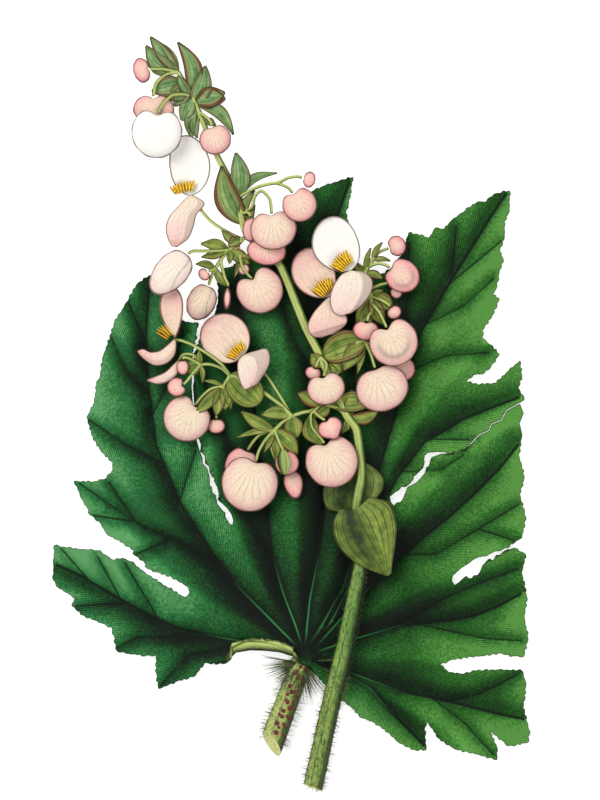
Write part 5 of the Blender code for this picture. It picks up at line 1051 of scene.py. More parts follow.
OPEN_BLOOMS = [
    ("open_bloom_behind", (11.8, 41.4), [
        ("round", (11.6, 41.4), (0.8, 59.8), 17.0, 1.15, 0.6),
        ("rows", [((11.2, 41.2), (12.6, 41.2)), ((8.8, 38.8), (13.8, 38.6)),
                  ((5.2, 34.6), (16.4, 36)), ((3.0, 29.6), (18.8, 33)), ((4.6, 25.8), (18.2, 30.2)),
                  ((8.4, 25), (13.6, 26.6))]),
    ], ((11.6, 42.0), (8.6, 46.2), 7.0), [(28.6, 41.4), (21, 40.6), (13.4, 41.2)]),
    ("open_bloom_white", (20.4, 51.8), [
        ("round", (20.2, 51.8), (10.6, 72.6), 18.6, 1.1, 1.2),
        ("rows", [((19.4, 51.4), (21.0, 51.8)), ((16.4, 50), (26.2, 50.6)),
                  ((13.4, 45.6), (29.0, 47.6)), ((11.9, 40.6), (28.4, 43)),
                  ((13.0, 35.6), (24.8, 38.2)), ((16.4, 33.5), (20.4, 34.8))]),
    ], ((19.8, 52.4), (15.8, 56.4), 7.2), [(26.4, 51.2), (22.2, 51.6)]),
    ("open_bloom_centre", (-22.8, 17.4), [
        ("round", (-22.8, 17.4), (-37.4, 31.6), 19.6, 1.0, -0.4),
        ("rows", [((-23.8, 17.0), (-22.2, 18.2)), ((-25, 14.4), (-17.4, 19.6)),
                  ((-24.8, 10), (-13, 20.3)), ((-23.6, 6), (-12.4, 14.4)), ((-22.2, 3.8), (-17.6, 5.6))]),
    ], ((-23.6, 17.8), (-26.2, 20.4), 7.0),
        [(-3.2, -6.4), (-8.4, 2.4), (-13.4, 9.8), (-18, 14.6), (-21.6, 17.0)]),
    ("open_bloom_left", (-50.2, 24.4), [
        ("round", (-50.2, 25.2), (-51.6, 45.0), 9.4, 1.5, 0.6),
        ("rows", [((-50.8, 24.4), (-49.6, 23.6)), ((-52.6, 22.6), (-50.2, 18.4)),
                  ((-56.2, 19.8), (-53, 15)), ((-60, 19.2), (-57.6, 13.8)),
                  ((-63, 20.4), (-61.4, 15.6)), ((-65.4, 19.6), (-64.6, 18.6))]),
    ], ((-51.4, 24.6), (-55.4, 28.2), 3.6),
        [(-28.2, 10), (-31, 14), (-37, 18.6), (-44, 22.6), (-48.8, 24.2)]),
    ("open_bloom_upper", (-43.6, 82.2), [
        ("round", (-43.8, 82.4), (-46.4, 106.2), 16.4, 1.0, -0.8),
        ("rows", [((-45, 82), (-42.6, 82.2)), ((-48, 79), (-38.4, 79)), ((-52.4, 74), (-41.6, 74.6)),
                  ((-54, 69), (-42.8, 70)), ((-53, 64.4), (-45, 65)), ((-51.4, 61.8), (-49.6, 61.6))]),
    ], ((-46.2, 82.6), (-47.2, 86.6), 8.2),
        [(-24, 64.4), (-31, 68.6), (-36.4, 72.4), (-40.2, 77), (-42.4, 80.8)]),
    ("open_bloom_sickle", (-49.0, 15.6), [
        ("rows", [((-48.8, 16.2), (-48.2, 15.2)), ((-51, 14), (-48.6, 11.6)),
                  ((-54, 11.2), (-51.4, 8)), ((-58, 9.4), (-56.6, 6.4)), ((-61.4, 8.1), (-61.2, 7.5))]),
    ], None, [(-39.8, 14.4), (-42.6, 18), (-46.6, 18.4), (-48.2, 16.8)]),
]
BRACT_LOWER_BACK = [
    ((20, -45), (24.4, -44.4)), ((11.4, -44), (29.6, -40.6)), ((9.2, -38.4), (33.2, -36)),
    ((10.4, -32), (33.4, -31)), ((14.6, -27.4), (29, -26.6)), ((19.4, -24.6), (23.4, -24)),
]
BRACT_LOWER_FRONT = [
    ((15.6, -43.8), (22.4, -43.8), (28.4, -38.6)), ((13.2, -49), (24.2, -48.2), (36, -41.4)),
    ((13.8, -55), (27, -54), (38.6, -49)), ((17, -60.6), (30, -59.6), (38.2, -57)),
    ((23.6, -66), (32.8, -65), (37, -64.4)), ((33.6, -70), (35.2, -70.3), (36.4, -69.2)),
]
# Thin bracts deep among the blooms
BRACTS_BETWEEN = [
    ((29.6, 41.6), (22.8, 30.5), 7.0, 1.0, 0.6), ((30.2, 41.4), (33.4, 30.2), 6.5, 1.0, -0.4),
    ((30.6, 42.0), (37.4, 36.6), 7.0, 0.9, 0.6), ((10.0, 15.0), (4.4, 18.6), 6.0, 1.0, 0.5),
    ((11.0, 14.0), (17.0, 12.0), 6.0, 1.0, -0.4), ((12.4, -6.0), (30.0, -0.6), 8.5, 1.0, 0.8),
    ((-28.5, 4.0), (-30.0, -4.0), 5.0, 1.0, 0.8), ((-39.5, 6.0), (-46.4, 11.8), 6.0, 1.0, 0.3),
    ((-38.4, 4.8), (-41.8, -5.4), 5.0, 1.0, 0.2), ((-33.0, 4.0), (-33.6, -6.4), 5.0, 1.0, -0.3),
    ((-27.0, 59.0), (-20.4, 54.6), 5.5, 1.0, 0.3), ((-41.0, 119.0), (-30.2, 123.8), 8.5, 0.9, 0.2),
    ((-46.0, 127.0), (-52.0, 120.6), 7.0, 1.0, 0.4), ((-44.0, 124.0), (-47.6, 112.4), 6.5, 1.0, 0.3),
]


# %% How strands and blades are laid
PEDICEL_RADIUS = 0.65
PEDICEL_SHORT = 1.0
BRACT_THICKNESS = 0.7
BRACT_BLADE = 0.42
BRACT_RISE = 0.6
BRACT_ARCH = 0.8
STRAND_SPACING = 0.8
FLARE = 0.45
FLARE_REACH = 1.2


def fan_rows(base, tip, width, shape, bow, rows, rounded=False):
    """Left and right edge places of a blade from its base to its tip, widest where shape says."""
    base, tip = Vector(base), Vector(tip)
    ahead = tip - base
    across = Vector((-ahead.y, ahead.x)).normalized()
    found = []
    for step in range(rows):
        share = step / (rows - 1)
        t = 0.5 - 0.5 * math.cos(math.pi * share) if rounded else share
        swell = math.sin(math.pi * t**shape) ** 0.8 if 0 < t < 1 else 0.0
        if rounded:
            swell = math.sqrt(max(0.0, 1 - (2 * t**shape - 1) ** 2))
        half = 0.5 * width * swell
        half = max(half, 0.55 if t < 0.5 else 0.3)
        middle = base + t * ahead + bow * math.sin(math.pi * t) * across
        found.append((middle + half * across, middle - half * across))
    return found


def row_grid(rows, columns, base_height, rise, arch, cup):
    """Middle points across each row: they rise to the tip, arch between, and lift or droop at the edges."""
    grid = []
    for t, row in zip(np.linspace(0, 1, len(rows)), rows):
        marks = np.array([tuple(mark) for mark in row])
        across = np.linspace(-1, 1, columns)
        x, y = (np.interp(across, np.linspace(-1, 1, len(marks)), marks[:, axis]) for axis in (0, 1))
        height = base_height + rise * t + arch * math.sin(math.pi * t)
        grid.append(np.column_stack([x, y, height + cup * across**2 * min(1.0, 3 * t)]))
    return np.array(grid)


def grid_shares(rows, columns):
    """Each point's share from base to tip, and from the left edge, -1, to the right, 1."""
    return np.meshgrid(np.linspace(0, 1, rows), np.linspace(-1, 1, columns), indexing="ij")


def lift_over(grid, thickness):
    """How far a blade that grows from its first row rises to be clear of what it lies over."""
    need = height_under(grid.reshape(-1, 3)[:, :2]).reshape(grid.shape[:2])
    need = need + GAP + 0.9 * thickness - grid[:, :, 2]
    ease = np.clip(np.linspace(0, 3.2, len(grid)), 0, 1)[:, None]
    return max(0.0, float((need * (ease >= 1)).max()))


def settled(path, need):
    """The path raised to what it has to clear, with its dips taken out."""
    for _ in range(6):
        path[:, 2] = np.maximum(path[:, 2], need)
        path[1:-1, 2] = np.maximum(path[1:-1, 2], 0.5 * (path[:-2, 2] + path[2:, 2]))
    return path


def rope_over(marks, radius, free_ends):
    """A path lifted clear of what it crosses, apart from its ends, and smoothed."""
    path = smooth_path(marks, 3.2)
    steps = np.linalg.norm(np.diff(path[:, :2], axis=0), axis=1)
    along = np.concatenate([[0], np.cumsum(steps)])
    free = (along < free_ends[0]) | (along > along[-1] - free_ends[1])
    return settled(path, np.where(free, -np.inf, height_under(path) + radius + GAP))


laid_paths = []
strands = []
bracts = []


def nearest(place):
    """The nearest point of all the paths laid so far."""
    laid = np.concatenate(laid_paths)
    return tuple(laid[np.argmin(np.linalg.norm(laid[:, :2] - place, axis=1))].tolist())


def add_rope(marks, radius, free_ends):
    """Lays a strand that is thickest where it leaves another."""
    path = rope_over(marks, radius, free_ends)
    laid_paths.append(path)
    fine = smooth_path(path, STRAND_SPACING)
    swell = 1 + FLARE * np.exp(-np.arange(len(fine)) * STRAND_SPACING / FLARE_REACH)
    strands.append((fine, radius * swell))


def add_branch(radius, places):
    """Lays a branch from the nearest strand, level with its start."""
    first = nearest(places[0])
    marks = [first] + [(*place, first[2] + 0.4) for place in places[1:]]
    add_rope(marks, radius, (2.0, 0.0))


def add_pedicel(places, end, free_end=3.0):
    """Lays a thin arched stalk from the nearest strand to its bloom."""
    first = nearest(places[0])
    count = len(places)
    marks = [first]
    for number, place in enumerate(places[1:], start=1):
        share = number / count
        marks.append((*place, (1 - share) * first[2] + share * end[2] + math.sin(math.pi * share)))
    marks.append(end)
    add_rope(marks, PEDICEL_RADIUS, (2.0, free_end))


def add_bract(place, tip, width, shape, bow, rounded=False):
    """A pointed bract at its strand's height, lifted clear, with a folded midrib and slightly wavy edges."""
    base = nearest(place)
    broad = width > 4.5
    bend = (base[2], BRACT_RISE, BRACT_ARCH, 0.05 * width)
    coarse = fan_rows(base[:2], tip, width, shape, bow, 5 if width > 7 else 4, rounded)
    lift = lift_over(row_grid(coarse, 3 if broad else 2, *bend), BRACT_THICKNESS)
    rows, columns = 19, 11
    grid = row_grid(fan_rows(base[:2], tip, width, shape, bow, rows, rounded), columns, *bend)
    t, s = grid_shares(rows, columns)
    grid[:, :, 2] += lift * np.clip(3.2 * t, 0, 1) + 0.05 * width * (np.abs(s) ** 1.5 - 0.4)
    grid[:, :, 2] += 0.028 * width * np.abs(s) ** 3 * np.sin(11 * t + 2 * s + width)
    rust = np.full_like(t, 0.65 + 0.35 * math.sin(3.1 * place[0] + 1.7 * tip[1]))
    cool = np.full_like(t, np.clip((place[1] - 58) / 22, 0.1, 1))
    shade = 0.4 * np.clip(1 - np.abs(s - 0.3) / 0.45, 0, 1) + 0.4 * np.clip(0.4 - t, 0, 1)
    values = {"across": s, "ribs": 16 * s, "rust": rust, "cool": cool, "shade": shade}
    bracts.append(blade(grid, BRACT_BLADE, values))


# %% The axis
path = smooth_path(AXIS, 5.0)
path = settled(path, height_under(path) + path[:, 3] + GAP)
laid_paths.append(path[:, :3])
axis_path = smooth_path(path, 1.0)
for radius, places in BRANCHES:
    add_branch(radius, places)
cover("bract_lower_front")
for group in (BRACTS_BEHIND, BRACTS_ROUND, BRACTS_BETWEEN):
    for bract in group:
        add_bract(*bract, rounded=group is BRACTS_ROUND)
print(len(strands), "branches", len(bracts), "bracts")

# %% [markdown]
# ## Petals
# An open bloom has two large petals. Their edges are written down from the base to the tip, and a finer
# grid follows them with a soft fold along the middle, fine pleats and a waving rim. A closed bloom has
# the same two petals pressed rim to rim like a shell, heart shaped round the notch where its pedicel
# meets it, with fine pleats that fan out from that notch.

# %% Petals of open blooms
OPEN_PETAL_THICKNESS = 0.45
PLEAT_HEIGHT = 0.04
WAVE_HEIGHT = 0.16
FOLD_HEIGHT = 0.45


def smooth_rows(marks, count):
    """Rows of numbers on smooth curves through the given ones."""
    ends = np.vstack([2 * marks[0] - marks[1], marks, 2 * marks[-1] - marks[-2]])
    found = []
    for step in np.linspace(0, len(marks) - 1, count):
        k = min(int(step), len(marks) - 2)
        t = step - k
        a, b, c, d = ends[k : k + 4]
        slope, bend, twist = c - a, 2 * a - 5 * b + 4 * c - d, 3 * b - a - 3 * c + d
        found.append(0.5 * (2 * b + slope * t + bend * t**2 + twist * t**3))
    return np.array(found)


def finer_rows(rows, count):
    """More rows between the given ones, each with its left and right edge place."""
    marks = np.array([[*left, *right] for left, right in rows], float)
    return [(tuple(place[:2]), tuple(place[2:])) for place in smooth_rows(marks, count)]


def open_petal(kind, form, bend, rise, rose, white, shade):
    """One petal of an open bloom with its layers."""
    rows, columns = 37, 29
    edges = fan_rows(*form, rows, rounded=True) if kind == "round" else finer_rows(form[0], rows)
    grid = row_grid(edges, columns, *bend)
    t, s = grid_shares(rows, columns)
    pleats = PLEAT_HEIGHT * np.sin(17 * s) * np.sin(math.pi * t)
    grid[:, :, 2] += rise + pleats + WAVE_HEIGHT * np.sin(7 * s + 5 * t) * t**2
    grid[:, :, 2] += FOLD_HEIGHT * np.exp(-(((shade(t, s) - 0.3) / 0.2) ** 2))
    reach = np.maximum(t, np.abs(s) ** 3)
    half = 0.5 * np.linalg.norm(grid[:, -1] - grid[:, 0], axis=1)[:, None]
    length = float(np.linalg.norm(grid[-1].mean(axis=0) - grid[0].mean(axis=0)))
    rim = np.minimum((1 - np.abs(s)) * half, np.minimum(t + 0.02, 1 - t) * length)
    values = {"reach": reach, "ray": 24 * s, "rim": rim, "shade": shade(t, s),
              "rose": np.full_like(t, rose), "white": np.full_like(t, white)}
    return blade(grid, OPEN_PETAL_THICKNESS, values)


# %% Petals of closed blooms
SHELL_WALL = 0.32
SHELL_LIP = 0.1
RIM_WAVE = 0.012
FAN_PLEATS = 26
FAN_PLEAT_HEIGHT = 0.018


def rim_radius(turn, wide, long, depth, point):
    """How far the rim of a closed bloom lies from its centre, towards a turn from its notch."""
    radius = 1 / np.hypot(2 * np.cos(turn) / long, 2 * np.sin(turn) / wide)
    radius -= (0.5 * long - depth) * np.exp(-((turn / 0.42) ** 2))
    return radius + point * np.exp(-(((math.pi - np.abs(turn)) / 0.45) ** 2))


def closed_petal(centre, wide, long, notch, deep, point, upper, rose, white, shade):
    """One cupped petal of a closed bloom, as a closed shell round its notch."""
    small = wide < 9
    count, rings = (48, 10) if small else (72, 15)
    centre, notch = np.array(centre, float), np.array(notch, float)
    axis = notch - centre
    depth = float(np.linalg.norm(axis))
    axis /= depth
    across = np.array([axis[1], -axis[0]])
    turn = np.linspace(-1, 1, count, endpoint=False)
    turn = math.pi * np.sign(turn) * np.abs(turn) ** 1.3
    radius = rim_radius(turn, wide, long, depth, point)
    radius = radius * (1 + RIM_WAVE * np.sin(9 * turn + wide))
    rim = centre + radius[:, None] * (np.cos(turn)[:, None] * axis + np.sin(turn)[:, None] * across)
    start = notch - 0.04 * depth * axis
    s = np.sin(np.linspace(0, 0.5 * math.pi, rings + 1)[1:])
    flat = start + s[:, None, None] * (rim[None] - start)
    off = flat - centre
    bearing = np.arctan2(off @ across, off @ axis)
    rho = np.linalg.norm(off, axis=2) / rim_radius(bearing, wide, long, depth, point)
    dome = np.clip(1 - np.clip(rho, 0, 1) ** 2.6, 0, 1) ** 0.6
    fan = np.arctan2((flat - start) @ across, -(flat - start) @ axis)
    pleat = FAN_PLEAT_HEIGHT * min(1.0, wide / 16) * np.sin(FAN_PLEATS * fan)
    pleat = pleat * s[:, None] * (1 - s[:, None] ** 4)
    outer = (0.5 * deep - SHELL_LIP) * dome + SHELL_LIP + SHELL_LIP * s[:, None] ** 6 + pleat
    inner = np.maximum(outer - SHELL_WALL, 0.03) - 0.02
    way = 1.0 if upper else -1.0
    tops = np.dstack([flat, way * outer]).reshape(-1, 3)
    lows = np.dstack([start + 0.985 * (flat - start), way * inner]).reshape(-1, 3)
    size = len(tops)
    apex_top, apex_low = 2 * size, 2 * size + 1
    points = np.vstack([tops, lows, [(*start, way * outer[0].mean())], [(*start, way * inner[0].mean())]])
    net = grid_faces(rings, count, True)
    faces = net.tolist() + (net[:, ::-1] + size).tolist()
    last = (rings - 1) * count
    for k in range(count):
        after = (k + 1) % count
        faces.append((apex_top, after, k))
        faces.append((apex_low, size + k, size + after))
        faces.append((last + k, last + after, size + last + after, size + last + k))
    points, faces = facing_out(points, faces)
    rho = np.clip(rho, 0, 1)
    reach = rho * np.clip(1.25 - 0.25 * np.cos(bearing), 0, 1) * (0.35 + 0.65 * s[:, None])
    values = {"reach": reach, "ray": FAN_PLEATS * fan, "rim": (1 - rho) * 0.5 * min(wide, long),
              "shade": shade(bearing, rho), "rose": np.full_like(reach, rose),
              "white": np.full_like(reach, white)}
    layers = {name: np.append(np.tile(np.ravel(layer), 2), [np.ravel(layer)[0]] * 2)
              for name, layer in values.items()}
    return points, faces, layers


# %% [markdown]
# ## The open blooms
# Five show their stamens: a tuft of yellow anthers fanned out from the base, like the teeth of a comb.
# The anthers repeat, so Geometry Nodes sets one small capsule on each point of the tuft, turned along its
# own aim and scaled by its own size. The same tree later grows hairs and spots.

# %% A tree that grows a shape on points
def grow_on_points(name, places, aims, sizes, shape, material, sides=8):
    """One shape on each place, with its axis along the aim; sizes are width and length in millimetres."""
    mesh = bpy.data.meshes.new(name)
    mesh.from_pydata(((np.asarray(places, float) - (*ORIGIN, 0.0)) * MM).tolist(), [], [])
    scales = [(width * MM, width * MM, length * MM) for width, length in sizes]
    for layer, values in (("aim", aims), ("size", scales)):
        stored = mesh.attributes.new(layer, "FLOAT_VECTOR", "POINT")
        stored.data.foreach_set("vector", np.asarray(values, np.float32).ravel())
    holder = bpy.data.objects.new(name, mesh)
    scene.collection.objects.link(holder)
    tree = bpy.data.node_groups.new(name, "GeometryNodeTree")
    tree.interface.new_socket("Points", in_out="INPUT", socket_type="NodeSocketGeometry")
    face_count = tree.interface.new_socket("Sides", in_out="INPUT", socket_type="NodeSocketInt")
    finish = tree.interface.new_socket("Finish", in_out="INPUT", socket_type="NodeSocketMaterial")
    tree.interface.new_socket("Grown", in_out="OUTPUT", socket_type="NodeSocketGeometry")
    given = add(tree, "NodeGroupInput").outputs
    if shape == "cone":
        seed = add(tree, "GeometryNodeMeshCone", {
            "Vertices": given["Sides"], "Radius Top": 0.15, "Radius Bottom": 1.0, "Depth": 1.0})
    else:
        seed = add(tree, "GeometryNodeMeshUVSphere", {"Segments": given["Sides"], "Rings": 6, "Radius": 1.0})
    aim, size = (
        add(tree, "GeometryNodeInputNamedAttribute", {"Name": layer}, data_type="FLOAT_VECTOR").outputs[0]
        for layer in ("aim", "size"))
    turned = add(tree, "FunctionNodeAlignRotationToVector", {"Vector": aim}, axis="Z").outputs[0]
    placed = add(tree, "GeometryNodeInstanceOnPoints", {
        "Points": given["Points"], "Instance": seed.outputs["Mesh"], "Rotation": turned,
        "Scale": size}).outputs[0]
    real = add(tree, "GeometryNodeRealizeInstances", {"Geometry": placed}).outputs[0]
    smooth = add(tree, "GeometryNodeSetShadeSmooth", {"Geometry": real}).outputs[0]
    done = add(tree, "GeometryNodeSetMaterial", {"Geometry": smooth, "Material": given["Finish"]}).outputs[0]
    add(tree, "NodeGroupOutput", {"Grown": done})
    modifier = holder.modifiers.new("grown", "NODES")
    modifier.node_group = tree
    modifier[face_count.identifier] = sides
    modifier[finish.identifier] = material
    bpy.context.view_layer.update()
    grown = bpy.data.meshes.new_from_object(holder.evaluated_get(bpy.context.evaluated_depsgraph_get()))
    holder.modifiers.clear()
    holder.data = grown
    grown.name = name
    return holder


# %% Stamens
ANTHER_RADIUS = 0.37
SHADE_STRIP_RADIUS = 0.22
TIER_RISE = 0.42
TIERS, SMALL_TIERS, SMALL_SPREAD = (9, 7), (5, 4), 5


def unit(vector):
    """The same direction with length 1."""
    vector = np.asarray(vector, float)
    return vector / np.linalg.norm(vector)


def stamen_tuft(name, base, tip, spread, low):
    """A fan of yellow anthers in two tiers, each with a red-brown strip of painted shade at its side."""
    base, tip = np.array([*base, low + 0.5]), np.array([*tip, low + 0.7])
    ahead = tip - base
    across = unit([-ahead[1], ahead[0], 0])
    radius = min(ANTHER_RADIUS, 0.062 * spread)
    yellow, shade_strips = [], []
    for tier, count in enumerate(TIERS if spread > SMALL_SPREAD else SMALL_TIERS):
        for k in range(count):
            s = 2 * k / (count - 1) - 1
            root = base + 0.36 * spread * s * across * (1 - 0.15 * tier)
            end = base + ahead * (1.25 - 0.14 * s * s - 0.24 * tier)
            end = end + 0.6 * spread * s * across * (1 - 0.12 * tier)
            middle = 0.38 * root + 0.62 * end + np.array([0, 0, TIER_RISE * tier])
            length = 0.5 * np.linalg.norm(end - root) * (0.92 + 0.08 * math.sin(5.1 * k + tier))
            yellow.append((middle, end - root + (0, 0, 0.5), (radius, length)))
            # A dark strip at one side of each anther, a little lower: painted shade between neighbours.
            shade_strips.append((middle + 0.42 * across - (0, 0, 0.2), end - root, (SHADE_STRIP_RADIUS, 0.97 * length)))
    for pieces, finish, ending in ((yellow, anther_dust, "anthers"), (shade_strips, anther_shade, "anther_shade_strips")):
        places, aims, sizes = zip(*pieces)
        grown = grow_on_points(f"{name}_{ending}", places, aims, sizes, "ball", finish)
        hand_over(grown, "stamen_yellow", *([name] if ending == "anthers" else []))


# %% Looks of each open bloom
def no_shade(t, s):
    """The petal's own colour all over."""
    return 0.0 * t


def folded(place, start, depth):
    """Painted shade beyond a fold, darkest along the fold line."""
    line = np.exp(-(((place - start - 0.03) / 0.035) ** 2))
    return depth * np.clip((place - start) / 0.06, 0, 1) + 0.35 * line


# For each petal its share of rose, its share of white and its shade
OPEN_LOOKS = {
    "open_bloom_behind": [(0.1, 0.0, no_shade), (0.12, 0.0, lambda t, s: folded(t, 0.74, 0.45))],
    "open_bloom_white": [(0.0, 0.95, no_shade), (0.0, 0.3, lambda t, s: folded(s, 0.5, 0.5))],
    "open_bloom_centre": [(0.0, 0.0, no_shade), (0.0, 0.25, lambda t, s: folded(s + 0.3 * t, 0.35, 0.4))],
    "open_bloom_left": [(0.15, 0.0, no_shade), (0.2, 0.1, lambda t, s: folded(s, 0.3, 0.3))],
    "open_bloom_upper": [(0.0, 1.0, no_shade), (0.1, 0.2, lambda t, s: folded(s, 0.45, 0.35))],
    "open_bloom_sickle": [(0.15, 0.1, lambda t, s: 0.4 * np.clip(s, 0, 1))],
}

# %% The open blooms
KNOB_DEPTH = 1.1
# Height at the base, rise to the tip, arch between them and lift at both edges
BACK_PETAL_BEND = (0.0, 1.6, -0.8, 1.5)
FRONT_PETAL_BEND = (0.3, 0.6, 1.6, -1.0)
for name, base, petals, tuft, pedicel in OPEN_BLOOMS:
    floor = float(height_under(np.array([base]))[0]) + PEDICEL_RADIUS + GAP
    add_pedicel(pedicel, (*base, floor), 0.0)
    cover(name)
    rise = node_heights(name)[0] + KNOB_DEPTH
    pieces = []
    for number, (kind, *form) in enumerate(petals):
        bend = BACK_PETAL_BEND if number == 0 and len(petals) > 1 else FRONT_PETAL_BEND
        pieces.append(open_petal(kind, form, bend, rise, *OPEN_LOOKS[name][number]))
    points, faces, layers = joined(pieces)
    bloom = make_piece(name + "_petals", points, faces, petal_silk, layers)
    hand_over(bloom, "petal_white" if "white" in name or "upper" in name else "petal_pink", name)
    if tuft:
        stamens = name.replace("open_bloom", "stamens")
        cover(stamens)
        stamen_tuft(stamens, *tuft, node_heights(stamens)[0])

# %% [markdown]
# ## The closed blooms
# Buds are the deepest pink and pale as they swell. Where a bloom turns from the light it is greyer.

# %% Looks of the closed blooms
ROSE = {"tip_white": 0.0, "tip_back": 0.45, "tip_right": 0.5, "upper_rose": 0.9, "upper_middle": 0.15,
        "upper_right": 0.5, "middle": 0.2, "left_drooping": 0.0, "left_folded": 0.0, "right_rose": 0.8,
        "right_back": 0.9, "right_low": 0.1, "right": 0.15, "centre_low": 0.1, "low_right": 0.1,
        "low_back": 0.8, "low_large": 0.0, "low_rose": 1.0, "left_low": 0.0}
BLOOM_ROSE = 0.3
BUD_ROSE = 0.9
WHITE = {"tip_white": 1.0, "left_folded": 0.4}


def falling_shade(turn, rho):
    """Greyer towards the rim on the right and below, as seen from the bloom's notch."""
    return 0.25 * np.clip((rho - 0.7) / 0.3, 0, 1) * (0.5 + 0.5 * np.sin(turn - 0.6))


def ring_shade(turn, rho):
    """A shaded band where the upper petal's dome ends and its flat rim begins."""
    return 0.6 * np.exp(-(((rho - 0.62) / 0.11) ** 2)) * np.clip(0.5 - 0.9 * np.cos(turn - 0.3), 0, 1)


def crease_shade(turn, rho):
    """A curved crease along a folded bloom."""
    return 0.7 * np.exp(-(((rho * np.sin(turn) - 0.42 + 0.2 * rho * np.cos(turn)) / 0.04) ** 2))


SHADES = {"right": ring_shade, "right_rose": ring_shade, "left_folded": crease_shade,
          "left_drooping": crease_shade}


# %% The closed blooms
for name, centre, wide, long, notch, deep, point, pedicel in BLOOMS:
    cover(name)
    low, high = node_heights(name)
    middle_height = 0.5 * (low + high)
    kind, _, short = name.partition("_")
    rose = ROSE.get(short, BLOOM_ROSE) if kind == "bloom" else BUD_ROSE
    look = (rose, WHITE.get(short, 0.0), SHADES.get(short, falling_shade))
    shells = [closed_petal(centre, wide, long, notch, deep, point, upper, *look) for upper in (True, False)]
    points, faces, layers = joined(shells)
    points[:, 2] += middle_height
    bloom = make_piece(name + "_petals", points, faces, petal_silk, layers)
    hand_over(bloom, "petal_white" if "white" in name else "petal_pink", name)
    end = np.array(pedicel[-1], float) - notch
    end = notch + PEDICEL_SHORT * end / np.linalg.norm(end)
    add_pedicel(pedicel, (*end, middle_height))

# %% [markdown]
# ## Pod, large bracts and all the strands
# The one green ovary is ribbed from end to end. The two large bracts at the lowest fork are heart shaped,
# with parallel veins. Then the axis, branches and pedicels become one piece, and the bracts another.

# %% The pod
RIBS = 7
RIB_HEIGHT = 0.09
POD_RADIUS = 2.5
POD_RINGS, POD_SIDES = 27, 56
POD_BASE, POD_TIP = np.array([-6.9, -19.9]), np.array([-6.0, -29.6])
low, high = node_heights("seed_pod")
shares = np.linspace(0, 1, POD_RINGS)
pod_path = np.column_stack([POD_BASE + shares[:, None] * (POD_TIP - POD_BASE),
                            np.full(POD_RINGS, 0.5 * (low + high))])
swelling = POD_RADIUS * np.sin(math.pi * (0.08 + 0.86 * shares)) ** 0.7
points, faces, layers = tube(pod_path, swelling, POD_SIDES, lush=0.5)
off = points[:-2].reshape(POD_RINGS, POD_SIDES, 3) - pod_path[:, None]
turn = 2 * math.pi * (np.arange(POD_SIDES) + 0.5) / POD_SIDES
off *= (1 + RIB_HEIGHT * np.cos(RIBS * turn))[None, :, None]
points[:-2] = (pod_path[:, None] + off).reshape(-1, 3)
pod = make_piece("seed_pod_ribbed", points, faces, stem_skin, layers)
hand_over(pod, "pod_green", "seed_pod")
cover("seed_pod")


# %% The large bracts
LARGE_BRACT_THICKNESS = 0.5


def large_bract(node, rows, bend, bulge, rust, cool):
    """A heart-shaped bract from its rows, as high as its solid."""
    even = np.linspace(-1, 1, 5)
    marks = [np.array(row, float) for row in rows]
    marks = [[np.interp(s, np.linspace(-1, 1, len(row)), row[:, axis]) for axis in (0, 1) for s in even]
             for row in marks]
    t, s = grid_shares(41, 31)
    steps = smooth_rows(np.array(marks), len(t))
    x, y = (np.array([np.interp(s[0], even, row[5 * axis : 5 * axis + 5]) for row in steps])
            for axis in (0, 1))
    base_height, rise, arch, cup = bend
    z = base_height + rise * t + arch * np.sin(math.pi * t) + cup * s**2 * np.minimum(1, 3 * t)
    z -= z.min()
    z += node_heights(node)[0] + 0.5 * BRACT_THICKNESS
    z += bulge * np.abs(np.cos(6.3 * s)) * np.sin(math.pi * t) * (1 - s**4)
    grid = np.dstack([x, y, z])
    shade = 0.75 * np.clip(1 - np.abs(s + 0.35) / 0.6, 0, 1) * np.clip(1.3 - t, 0, 1)
    values = {"across": s, "ribs": 29 * s, "rust": np.full_like(t, rust), "cool": np.full_like(t, cool),
              "shade": shade + 0.24}
    points, faces, layers = blade(grid, LARGE_BRACT_THICKNESS, values)
    hand_over(make_piece(node + "_veined", points, faces, bract_skin, layers), "stem_green", node)


large_bract("bract_lower_back", BRACT_LOWER_BACK, (0.0, 0.6, 0.4, 0.6), 0.25, 0.1, 0.3)
large_bract("bract_lower_front", BRACT_LOWER_FRONT, (0.0, -0.4, 1.4, -0.9), 0.3, 0.05, 0.05)
for bract in BRACTS_FRONT:
    add_bract(*bract)

# %% The stem and its bracts
AXIS_CUT_LEAN = (1.6, 0.6)
# How dark and lush the axis is at some places up it
LUSH_PLACES, LUSH_SHARES = [-150, -115, -95, -50, -10], [0.65, 0.8, 1.0, 0.85, 0.0]
lush = np.interp(axis_path[:, 1], LUSH_PLACES, LUSH_SHARES)
axis_tube = tube(axis_path[:, :3], axis_path[:, 3], 32, AXIS_CUT_LEAN, lush)
strand_tubes = [tube(path, radii, 12) for path, radii in strands]
points, faces, layers = joined([axis_tube] + strand_tubes)
flower_stem = make_piece("flower_stem_strands", points, faces, stem_skin, layers)
show_cut(flower_stem, len(axis_tube[0]) - 2, len(axis_tube[1]))
hand_over(flower_stem, "stem_green", "flower_stem")
points, faces, layers = joined(bracts)
small_bracts = make_piece("small_bracts", points, faces, bract_skin, layers)
hand_over(small_bracts, "stem_green")

# %% [markdown]
# ## Hairs, collar and spots
# Fine hairs stand off the stems and the leaf's margin, a ring of long pale hairs marks the top of the leaf
# stalk, and red spots run down it in small clusters. A fixed seed keeps them the same at every run.

# %% Hairs
LOOK_AHEAD = 0.5
chance = np.random.default_rng(7)


def above_floor(root, aim, reach):
    """The hair's aim, raised where its tip would go through the floor."""
    aim[2] = max(aim[2], -0.9 * root[2] / reach)
    return unit(aim)


